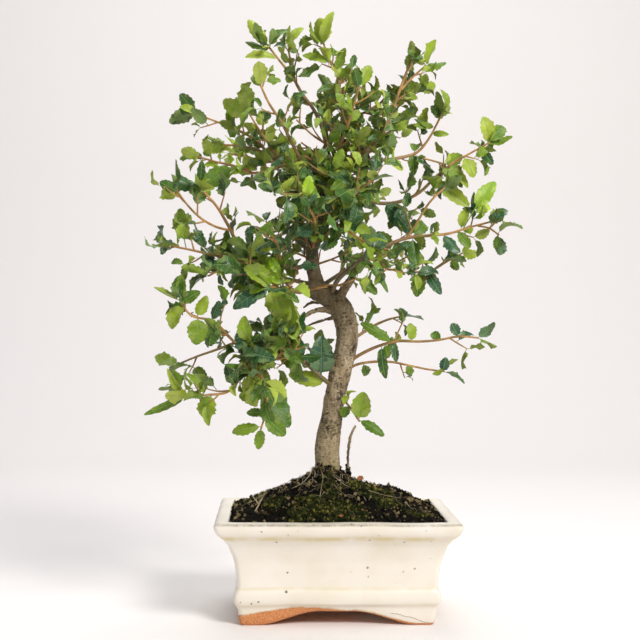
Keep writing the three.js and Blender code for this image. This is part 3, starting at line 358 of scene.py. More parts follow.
def lamp(name, place, target, size, watts, tint="ffffff"):
    data = bpy.data.lights.new(name, "AREA")
    data.size = size
    data.energy = watts
    data.color = paint(tint)[:3]
    made = put_in_scene(name, data)
    aim = Vector(target) - Vector(place)
    made.matrix_world = Matrix.Translation(place) @ aim.to_track_quat("-Z", "Y").to_matrix().to_4x4()


lamp("window", (0.95, -1.25, 1.35), (0, 0, 0.2), 0.65, 34.5, "fffcf8")
lamp("room", (-1.4, -1.0, 0.8), (0, 0, 0.2), 1.4, 4, "f3f6ff")
lamp("top", (-0.1, 0.35, 1.7), (0, 0, 0.2), 1.0, 15)
world = bpy.data.worlds.new("pale room")
bpy.context.scene.world = world
world.use_nodes = True
feed(world.node_tree.nodes["Background"], {"Color": "eef0f2", "Strength": 0.26})

# %% [markdown]
# ## The glazed pot
#
# A bonsai pot like this is pressed in a mould, dried, dipped in a cream glaze and fired once. Its section is
# the same all round: a flat rim, a hollow under it, a plain wall, a low bead and a skirt with four feet. So
# the pot is one skin over many level rings that follow that section, from the recess under its floor, out
# over the feet, up the wall, over the rim and down inside. The arches between the feet only lift the lowest
# rings. Clay moves a little as it dries, so the rings are not quite true.

# %% The section of the pot
POT_LENGTH = 180
POT_WIDTH = 130
POT_RIM_HEIGHT = 77.3
RIM_WIDTH = 10.5
POT_FLOOR_TOP = 15.5
FOOT_HEIGHT = 10.4
DRAIN_HOLE_RADIUS = 7
DRAIN_HOLE_X = 34
SKIRT_TOP = 16

# Height and inset from the rim's outer edge, up the outside.
OUTSIDE = [
    (0, 19.9), (0.5, 19), (1.6, 18.6), (4.5, 18), (12.5, 17.1), (14, 16.4), (16, 14.7), (20.5, 13.9),
    (24.4, 14.5), (26, 15.6), (27.3, 16.4), (37, 15.9), (47, 14.4), (54, 12.1), (60, 9.9), (64.3, 6.9),
    (66, 4.6), (67.4, 2.9), (70, 1.2), (74.3, 0), (75.8, 0.5), (76.8, 1.7), (POT_RIM_HEIGHT, 4.5),
    (POT_RIM_HEIGHT, 8.6), (76.7, 10.1),
]
INSIDE = [
    (76, RIM_WIDTH), (71.5, RIM_WIDTH + 1), (63, 17), (52, 23.7), (24, 26.5), (POT_FLOOR_TOP, 30),
]
RECESS = [(FOOT_HEIGHT, 40), (FOOT_HEIGHT, 33), (8.4, 32.2), (1.6, 31.6), (0.4, 30.8), (0, 29)]
print("rings given", len(RECESS) + len(OUTSIDE) + len(INSIDE))

# %% Rings of the pot
CORNER_STEPS = 7
LONG_STEPS = 56
SHORT_STEPS = 40
WARP = 0.55
DIMPLE = 0.13
# Half the span of an arch, and half of its level crown, along the front and along the side.
LONG_ARCH = (60, 12)
SHORT_ARCH = (30, 12)
# Without a seed of its own, noise_vector would start from the clock and change the pot at each run.
noise.seed_set(11)

def finer(section, step):
    """Adds levels between the given ones, so that no two are more than step apart."""
    levels = []
    for (low, inset), (high, next_inset) in zip(section, section[1:]):
        count = max(1, math.ceil(math.hypot(high - low, next_inset - inset) / step))
        levels += [
            (low + (high - low) * i / count, inset + (next_inset - inset) * i / count)
            for i in range(count)
        ]
    return levels + [section[-1]]


def smoothed(section, rounds):
    """Eases the corners of a section, with its ends kept."""
    for _ in range(rounds):
        middle = [
            ((a[0] + 2 * b[0] + c[0]) / 4, (a[1] + 2 * b[1] + c[1]) / 4)
            for a, b, c in zip(section, section[1:], section[2:])
        ]
        section = [section[0], *middle, section[-1]]
    return section


def ring_outline(inset, corner_radius):
    """Points of a rectangle with round corners, once round from the right end of the front."""
    half_long = POT_LENGTH / 2 - inset - corner_radius
    half_short = POT_WIDTH / 2 - inset - corner_radius
    corners = [(1, -1, -90), (1, 1, 0), (-1, 1, 90), (-1, -1, 180)]

    def on_corner(index, step):
        side_x, side_y, start = corners[index % 4]
        angle = math.radians(start + 90 * step / CORNER_STEPS)
        return (
            side_x * half_long + corner_radius * math.cos(angle),
            side_y * half_short + corner_radius * math.sin(angle),
        )

    places = []
    for index in range(4):
        places += [on_corner(index, step) for step in range(CORNER_STEPS + 1)]
        first, end = places[-1], on_corner(index + 1, 0)
        steps = SHORT_STEPS if index % 2 == 0 else LONG_STEPS
        places += [
            (first[0] + (end[0] - first[0]) * i / steps, first[1] + (end[1] - first[1]) * i / steps)
            for i in range(1, steps)
        ]
    return places


def ease(value, low, high):
    share = min(1, max(0, (value - low) / (high - low)))
    return share * share * (3 - 2 * share)


def arch_rise(x, y):
    """How far the skirt's lower edge is lifted between the feet."""
    return FOOT_HEIGHT * max(ease(abs(x), *LONG_ARCH), ease(abs(y), *SHORT_ARCH))


print("points a ring", len(ring_outline(5, 5)))

# %% [markdown]
# Three values are stored on each point for the glaze to read: how far bare clay reaches above it, how much
# warm shade is painted there in the hollow and the creases of the section, and how worn the rim's outer edge
# is.

# %% The skin of the pot, with what its glaze needs to know
CORNER_RADIUS = {"under": 5, "out": 4, "in": 4}
# Where the glaze stops on the front: along the pot, and the height of bare clay in millimetres.
BARE_EDGE = [(-90, 6.0), (-71, 7.6), (-57, 9.9), (-45, 12.0), (-30, 13.4), (-14, 13.6), (-4, 12.4),
             (4, 10.8), (9, 9.0), (14, 8.0), (36, 4.5), (45, 1.0), (56, -1.0), (90, -2.0)]
BARE_BEHIND = 2.4
BARE_SOLE = 4.0
# Where warm shade is painted, in the hollow under the rim and in the creases lower down: height, reach and
# share.
CREASE_SHADE_AT = [(65.6, 1.7, 1.0), (27.2, 1.1, 0.45), (15.2, 1.0, 0.35)]
WORN_AT = (76.1, 0.7)

section = (
    [(*level, "under") for level in finer(RECESS, 4)]
    + [(*level, "out") for level in smoothed(finer(OUTSIDE, 1.5), 2)]
    + [(*level, "in") for level in smoothed(finer(INSIDE, 4), 1)]
)
pot_points, bare, crease_shade, worn = [], [], [], []
for height, inset, part in section:
    for x, y in ring_outline(inset, CORNER_RADIUS[part]):
        rise = arch_rise(x, y)
        z = height
        if part == "under" or (part == "out" and height < SKIRT_TOP):
            top = FOOT_HEIGHT if part == "under" else SKIRT_TOP
            z = rise + height * (top - rise) / top
        place = Vector((x, y, z))
        warp = noise.noise_vector(place / 47 + Vector((3.1, 0, 7))) * WARP
        dimple = noise.noise_vector(place / 7.5) * DIMPLE
        if z < 3:
            warp.z = dimple.z = 0
        place += warp + dimple
        place.z = max(0, place.z)
        pot_points.append(in_scene(place))
        edge_height = float(np.interp(x, *zip(*BARE_EDGE))) if y < 0 else BARE_BEHIND + rise
        sole = height < 3 and (part == "under" or (part == "out" and height < 0.9))
        bare.append(BARE_SOLE if sole else max(edge_height, rise + 1.0) - z)
        shade_here = sum(share * math.exp(-(((height - at) / wide) ** 2)) for at, wide, share in CREASE_SHADE_AT)
        crease_shade.append(shade_here if part == "out" else 0)
        rubbed = math.exp(-(((height - WORN_AT[0]) / WORN_AT[1]) ** 2))
        worn.append(rubbed if part == "out" and inset < 4 else 0)

around = len(ring_outline(5, 5))
pot_points += [POT_MIDDLE + Vector((0, 0, height * MM)) for height in (FOOT_HEIGHT, POT_FLOOR_TOP)]
pot = new_object("glazed_pot_shell", pot_points, closed_ring_faces(around, len(section)))
for name, values, floor_value in (("bare", bare, BARE_SOLE), ("crease_shade", crease_shade, 0), ("worn", worn, 0)):
    store(pot, name, values + [floor_value] * 2)
print("pot rings", len(section), "points a ring", around)

# %% [markdown]
# The floor of the pot has two drain holes. Its upper and lower skins are flat discs of faces. The holes are
# cut by a Boolean modifier, which is turned into plain mesh at once.

# %% Cut the drain holes
for side in (-1, 1):
    bpy.ops.mesh.primitive_cylinder_add(
        vertices=32, radius=DRAIN_HOLE_RADIUS * MM, depth=0.05,
        location=POT_MIDDLE + Vector((side * DRAIN_HOLE_X * MM, 0, 0.01)),
    )
    drill = bpy.context.object
    cut = pot.modifiers.new("drain hole", "BOOLEAN")
    cut.object, cut.operation, cut.solver = drill, "DIFFERENCE", "EXACT"
    pot = as_plain_mesh(pot, "glazed_pot")
    bpy.data.objects.remove(drill)
pot.data.set_sharp_from_angle(angle=math.radians(48))
print("pot points", len(pot.data.vertices))

# %% [markdown]
# The glaze is an opaque cream one with a soft gloss, not a hard mirror. It runs thin and pale on edges. Where
# the section is hollow, under the rim and in the creases lower down, a warm yellowish shade is painted on it.
# Iron in the clay leaves small uneven pits, a fine crack runs over the right foot, and on the rim's outer
# edge the glaze has worn to a thin grey line. Along the lower left of the front it never covered the clay,
# which fired to a rough orange.

# %% Cream glaze over orange clay
glaze, shader, add, where = new_material(
    "cream glazed stoneware", Coat_Weight=0.12, Coat_Roughness=0.12, IOR=1.5
)
bareness, crease_shade_share, rubbing = [
    add("kept", attribute_name=name).outputs["Fac"] for name in ("bare", "crease_shade", "worn")
]
cloud = add("noise", where, per(38), 2)
cream = add("ramp", cloud, stops={0.3: "e7decb", 0.55: "eee6d8", 0.75: "f1ebe0"})
# Painted shade: a warm yellowish tint d9c78a where the section is hollow, under the rim and in the creases
# lower down.
crease_shade_noise = add("MULTIPLY", crease_shade_share, add("within", add("noise", where, per(17)), 0.3, 0.62))
crease_shade_mix = add("MULTIPLY", crease_shade_noise, 0.85, use_clamp=True)
stain = add("MULTIPLY", add("within", add("noise", where, per(26), 4, 0.7), 0.6, 0.8), 0.3)

# Pits: every cell draws at random whether it holds one, how wide it reaches and how dark it is.
wobble = add("vector", add("noise", where, per(1.6)).outputs["Color"], (0.5,) * 3, operation="SUBTRACT")
wobble = add("vector", wobble, (2.2 * MM,) * 3, operation="MULTIPLY")
wobbled = add("vector", where, wobble, operation="ADD")
cells = add("ShaderNodeTexVoronoi", wobbled, Scale=per(6.5), Randomness=1.0).outputs
drawn_at_random = add("ShaderNodeSeparateColor", cells["Color"]).outputs
reach = add("MULTIPLY_ADD", add("POWER", drawn_at_random["Green"], 4), 0.15, 0.065)
pit = add("SUBTRACT", 1, add("within", cells["Distance"], add("MULTIPLY", reach, 0.55), reach))
pit = add("MULTIPLY", pit, add("GREATER_THAN", drawn_at_random["Red"], 0.5))
pit_share = add("MULTIPLY", pit, add("MULTIPLY_ADD", drawn_at_random["Blue"], 0.6, 0.3))

# The crack: a wavy line on the front of the right foot, in millimetres from the pot's middle.
at = add("ShaderNodeSeparateXYZ", where).outputs
from_middle = add("MULTIPLY_ADD", at["X"], 1 / MM, -POT_MIDDLE.x / MM)
crack_height = add("ADD", add("MULTIPLY_ADD", from_middle, -0.25, 16.6),
                   add("MULTIPLY", add("noise", where, per(9)), 5))
off_crack = add("ABSOLUTE", add("MULTIPLY_ADD", at["Z"], 1 / MM, add("MULTIPLY", crack_height, -1)))
crack = add("SUBTRACT", 1, add("within", off_crack, 0.1, 0.42))
crack = add("MULTIPLY", crack, add("within", from_middle, 37, 41))
crack = add("MULTIPLY", crack, add("LESS_THAN", at["Y"], POT_MIDDLE.y - 35 * MM))

wear_noise = add("within", add("noise", where, per(8), 5, 0.75), 0.3, 0.62)
wear = add("MULTIPLY", rubbing, add("MULTIPLY_ADD", wear_noise, 0.6, 0.25))
ragged = add("SUBTRACT", add("noise", where, per(6), 4, 0.6), 0.5)
ragged = add("MULTIPLY_ADD", ragged, 3.0, bareness)
clay_share = add("within", ragged, -0.15, 0.35)
lip = add("MULTIPLY", add("within", ragged, -1.3, -0.2), 0.55)
grit = add("noise", where, per(0.9), 3, 0.7)
clay = add("ramp", grit, stops={0.3: "b06a38", 0.5: "d48a54", 0.72: "e6ad7c"})
glazed = layered(
    add, cream, (crease_shade_mix, "d9c78a"), (stain, "cdbf93"), (pit_share, "5a4a30"),
    (add("MULTIPLY", crack, 0.75), "755a36"), (wear, "85765c"), (lip, "cfa869"), (clay_share, clay),
)
gloss = add("MULTIPLY_ADD", cloud, 0.12, 0.24)
skin = add("bump", Height=add("noise", where, per(4.5), 2), Distance=0.25 * MM, Strength=0.35)
skin = add("bump", Height=add("SUBTRACT", 1, pit), Distance=0.3 * MM, Strength=0.6, Normal=skin)
gritty = add("MULTIPLY", clay_share, add("SUBTRACT", grit, 1.1))
feed(shader, {
    "Base Color": glazed,
    "Roughness": add("ShaderNodeMix", clay_share, gloss, 0.88, data_type="FLOAT"),
    "Normal": add("bump", Height=gritty, Distance=0.4 * MM, Strength=0.8, Normal=skin),
})
pot.data.materials.clear()
pot.data.materials.append(glaze)
finish_piece(pot, "cream_glaze", "pot")

# %% [markdown]
# ## Soil, crumbs and moss
#
# The soil fills the pot to just under its rim and is heaped round the trunk. Its top is one skin of rings
# that shrink from the pot's wall to the middle of the heap, roughened by noise. Real potting soil is a
# heap of baked grains, so a geometry tree then strews a few thousand crumbs on that skin, in six irregular
# shapes, and tufts of moss where the soil stays moist.

# %% The skin of the soil
SOIL_EDGE_HEIGHT = 75.9
HEAP_MIDDLE = (-6.5, 0)
SIDE_MOUND_ACROSS = 54
# Height and reach of each mound, and where it stands across the pot.
MOUNDS = [((23, 62), HEAP_MIDDLE[0]), ((12, 16), HEAP_MIDDLE[0]), ((8, 22), SIDE_MOUND_ACROSS)]
MOUND_DEPTH = 1.25
CROWNING = 1.6
SOIL_RINGS = 60
SOIL_GAP = 0.3
SOIL_SIDE = [(POT_FLOOR_TOP + SOIL_GAP, 30), (24, 26.5), (52, 23.7), (63, 17), (71.5, RIM_WIDTH + 1)]
# Where moss grows, as seen from in front: across, behind, reach.
MOSS_AT = [(-8, -42, 22), (8, -47, 16), (-26, -45, 15), (22, -14, 17), (38, -26, 14), (-2, -20, 12),
           (-48, -30, 11), (60, -38, 10), (-22, 18, 16), (30, 26, 18), (-60, 8, 12)]


def soil_height(x, y, to_edge):
    """Height of the soil in millimetres. The last number is 0 on the heap's middle and 1 at the rim."""
    heap = 0
    for (height, reach), across in MOUNDS:
        away = math.hypot(x - across, (y - HEAP_MIDDLE[1]) * MOUND_DEPTH)
        heap += height * math.exp(-((away / reach) ** 2))
    return SOIL_EDGE_HEIGHT + heap * (1 - to_edge ** 5) + CROWNING * (1 - to_edge ** 3)


def moss_share(x, y):
    """How mossy the soil is at a place, from 0 to 1."""
    near = max(math.exp(-(((x - a) ** 2 + (y - b) ** 2) / reach ** 2)) for a, b, reach in MOSS_AT)
    ragged = 0.5 + 0.9 * noise.noise(Vector((x / 9, y / 9, 3.7)))
    return ease(near * 0.8 + ragged * 0.45, 0.46, 0.9)


soil_points = [
    in_scene(Vector((x, y, height)))
    for height, inset in SOIL_SIDE
    for x, y in ring_outline(inset + SOIL_GAP, 4)
]
moss, strewn = [0] * len(soil_points), [0] * len(soil_points)
edge = ring_outline(RIM_WIDTH + 0.2 + SOIL_GAP, 4)
for ring in range(SOIL_RINGS):
    to_edge = 1 - ring / SOIL_RINGS
    for x, y in edge:
        place = Vector((HEAP_MIDDLE[0] + (x - HEAP_MIDDLE[0]) * to_edge, y * to_edge, 0))
        mossy = moss_share(place.x, place.y)
        rough = sum(noise.noise(place / size) * height for size, height in ((7, 1.0), (2.6, 0.8), (1.2, 0.4)))
        rough = (rough + 0.6 * mossy) * min(1, 5 * (1 - to_edge))
        place.z = soil_height(place.x, place.y, to_edge) + rough if ring else SOIL_EDGE_HEIGHT - 0.4
        soil_points.append(in_scene(place))
        moss.append(mossy)
        strewn.append(1 if ring else 0)
rings = len(soil_points) // len(edge)
soil_points += [in_scene(Vector((0, 0, POT_FLOOR_TOP + SOIL_GAP))),
                in_scene(Vector((*HEAP_MIDDLE, soil_height(*HEAP_MIDDLE, 0))))]
moss += [0, 0]
strewn += [0, 1]
print("soil rings", rings, "points a ring", len(edge))

# %% [markdown]
# The grains are dark brown when moist, with some paler, dry ones. A value per grain, drawn by the geometry
# tree, shifts their colour. The moss is olive, yellowish where it has dried.

# %% Soil and moss materials
earth, shader, add, where = new_material("moist potting soil", Roughness=0.95, Specular_IOR_Level=0.12)
grain, mossiness = [add("kept", attribute_name=name).outputs["Fac"] for name in ("grain", "moss")]
clods = add("noise", where, per(2.2), 5, 0.75)
soil_mix = add("MULTIPLY_ADD", clods, 0.4, add("MULTIPLY", grain, 0.62))
dark = add("ramp", soil_mix, stops={0.3: "060504", 0.52: "17140d", 0.64: "3a3220", 0.8: "8c7a58"})
moss_cloud = add("noise", where, per(5), 4, 0.7)
green = add("ramp", moss_cloud, stops={0.35: "161b0b", 0.55: "2c3213", 0.74: "5c5a22"})
mossy = add("within", add("ADD", mossiness, add("MULTIPLY", clods, 0.5)), 0.55, 0.95)
crumbly = add("bump", Height=add("noise", where, per(0.8), 4, 0.7), Distance=0.5 * MM, Strength=0.9)
feed(shader, {"Base Color": add("blend", add("MULTIPLY", mossy, 0.8), dark, green), "Normal": crumbly})

cushion, shader, add, where = new_material("living moss", Roughness=0.9, Specular_IOR_Level=0.12)
grain = add("kept", attribute_name="grain").outputs["Fac"]
shade = add("MULTIPLY_ADD", grain, 0.55, add("MULTIPLY", add("noise", where, per(9)), 0.5))
moss_tint = add("ramp", shade, stops={0.25: "10140a", 0.45: "272e13", 0.64: "4a4f24", 0.8: "8f8542"})
feed(shader, {"Base Color": moss_tint})

soil = new_object("potting_soil", soil_points, closed_ring_faces(len(edge), rings), earth)
for name, values in (("moss", moss), ("strewn", strewn), ("grain", [0.35] * len(moss))):
    store(soil, name, values)
print("soil points", len(soil_points))

# %% Shapes of the crumbs and the moss tufts
def rough_ball(name, seed):
    """A lump with twenty faces and uneven corners, one unit across."""
    bpy.ops.mesh.primitive_ico_sphere_add(subdivisions=1, radius=0.5)
    made = bpy.context.object
    made.name = name
    flat = 0.6 + 0.1 * (seed % 3)
    for index, vertex in enumerate(made.data.vertices):
        swell = 1 + 0.9 * noise.noise(Vector((index * 1.7, seed * 3.1, 0.5)))
        vertex.co = Vector((vertex.co.x * swell, vertex.co.y * swell * 0.85, vertex.co.z * swell * flat))
    return made


def moss_tuft(name, seed):
    """A few short pointed blades that spread from one root, one unit high."""
    draw = seeded(seed)
    points, faces = [], []
    for blade in range(8):
        turn = blade * 2.4 + draw()
        lean = 0.15 + 0.75 * draw()
        out = Vector((math.cos(turn), math.sin(turn), 0))
        side = Vector((-out.y, out.x, 0)) * 0.17
        root = out * 0.16
        tip = out * lean + Vector((0, 0, 1.05 - 0.55 * lean))
        start = len(points)
        points += [root + side, root - side, root - out * 0.2, tip]
        faces += [(start, start + 1, start + 3), (start + 1, start + 2, start + 3),
                  (start + 2, start, start + 3), (start, start + 2, start + 1)]
    return new_object(name, points, faces)


crumb_shapes = set_of_shapes("crumb shapes", [rough_ball(f"crumb {n}", n) for n in range(6)])
tuft_shapes = set_of_shapes("tuft shapes", [moss_tuft(f"tuft {n}", 40 + n) for n in range(5)])

# %% A tree that strews shapes over a skin
strew, add, source, sink = geometry_tree(
    "strew shapes", Shapes="Collection", Material="Material", Density="Float", Smallest="Float",
    Largest="Float", Upright="Float", Seed="Int", Where="String",
)
thick = add("MULTIPLY", add("number", source["Where"]), source["Density"])
strewing = add("GeometryNodeDistributePointsOnFaces", Mesh=source["Geometry"], Density=thick,
               Seed=source["Seed"])
skewed = add("POWER", add("random", Min_001=0.0, Max_001=1.0, Seed=source["Seed"]), 2.2)
size = add("MULTIPLY_ADD", skewed, add("SUBTRACT", source["Largest"], source["Smallest"]), source["Smallest"])
tumble = add("random", Min=(-3.1,) * 3, Max=(3.1,) * 3, Seed=7, data_type="FLOAT_VECTOR")
upright = add("ShaderNodeMix", source["Upright"], (1.0,) * 3, (0.12, 0.12, 1.0), data_type="VECTOR")
shapes = add("GeometryNodeCollectionInfo", Collection=source["Shapes"], Separate_Children=True,
             Reset_Children=True)
placed = add(
    "GeometryNodeInstanceOnPoints", Points=strewing.outputs["Points"], Instance=shapes, Pick_Instance=True,
    Instance_Index=add("random", Min=0, Max=5, Seed=3, data_type="INT"),
    Rotation=add("vector", tumble, upright, operation="MULTIPLY"), Scale=size,
)
tinted = add("GeometryNodeStoreNamedAttribute", Geometry=placed, Name="grain",
             Value=add("random", Min_001=0.0, Max_001=1.0, Seed=21), data_type="FLOAT", domain="INSTANCE")
end_tree(add, sink, add("GeometryNodeRealizeInstances", Geometry=tinted), source["Material"])


def strewn_piece(name, skin, shapes, material, smallest_mm, largest_mm, **values):
    """A copy of a skin, turned into what the tree strews on it."""
    return run_tree(put_in_scene(name, skin.data), strew, name, Shapes=shapes, Material=material,
                    Smallest=smallest_mm * MM, Largest=largest_mm * MM, **values)


for piece in (
    soil,
    strewn_piece("soil_crumbs", soil, crumb_shapes, earth, 1.2, 5.0,
                 Density=150000.0, Upright=0.0, Seed=5, Where="strewn"),
    strewn_piece("moss_tufts", soil, tuft_shapes, cushion, 1.4, 3.8,
                 Density=230000.0, Upright=1.0, Seed=9, Where="moss"),
):
    finish_piece(piece, "soil", "soil")

# %% [markdown]
# ## Where the wood grows
#
# The tree is written down as it looks from the front: each stem is a list of places, across, up and behind
# the trunk, with its thickness at both ends, its pairs of leaves and its broad leaves. A smooth curve runs
# through the places, and even steps along that curve give the line that the wood and the leaves grow on.

# %% Trunk, stubs and dead twigs
def rows(text):
    """Rows of numbers from a text, in which commas part the rows."""
    return [[float(number) for number in row.split()] for row in text.split(",") if row.strip()]


def limb(step, radii, places):
    """The length of a step along the limb, its radii from end to end, and its places."""
    return {"step": step, "radii": rows(radii)[0], "places": rows(places)}


TRUNK_STEMS = [
    limb(11, "9 11 11.6 10.4 9.5 9.2 8.8 8.3 8.1 8.3 7.9 7.8 8.4 8.2 8 7.6",
         """-10 48 0, -10 71 0, -9 84 0, -8 102 0, -8 113 0, -6 128 -1, -4 144 -2, -1 159 -3, 2 175 -4,
         6 190 -4, 7 201 -4, 6 212 -3, 2 222 -1, -4 229 1, -13 234 3, -22 238 5"""),
    limb(14, "6.5 5.4 5.1 4.9 4.5 4 3.3 2.4",
         "-12 231 3, -19 248 8, -20 271 9, -13 286 7, -9 301 4, -10 320 2, -11 337 2, -9 351 0"),
    limb(12, "4.2 3.4 3", "-1 226 -2, 4 236 -5, 11 246 -8"),
    limb(8, "2.6 2 1.6 1.2", "-5 220 -2, -12 221 -5, -21 219 -9, -27 215 -12"),
    limb(10, "1.6 1.1 0.9 0.7", "-2 215 -2, -10 213 0, -20 210 4, -30 204 8"),
    limb(8, "1.8 1.2 1 0.8", "-9 227 4, -16 226 11, -22 226 15, -27 222 17"),
    limb(6, "1.6 1.2 0.8", "8 206 -5, 13 209 -6, 16 210 -7"),
    limb(9, "3 2.2 1.6 1.3 1.2 1.1 1", "-8 72 1, 3 79 2, 8 90 2, 8 105 1, 9 117 0, 11 127 0, 14 132 0"),
]
print("trunk stems", len(TRUNK_STEMS))

# %% Branches and shoots
def stem(thick, thin, pairs, start, places, broad=""):
    """The radius at both ends, pairs of leaves and where they begin, the places, and the broad leaves.

    A broad leaf has its share of the way along, its tip across and up, its width, and the stalk's share.
    """
    return {"radii": (thick, thin), "pairs": pairs, "start": start, "places": rows(places),
            "broad": rows(broad)}


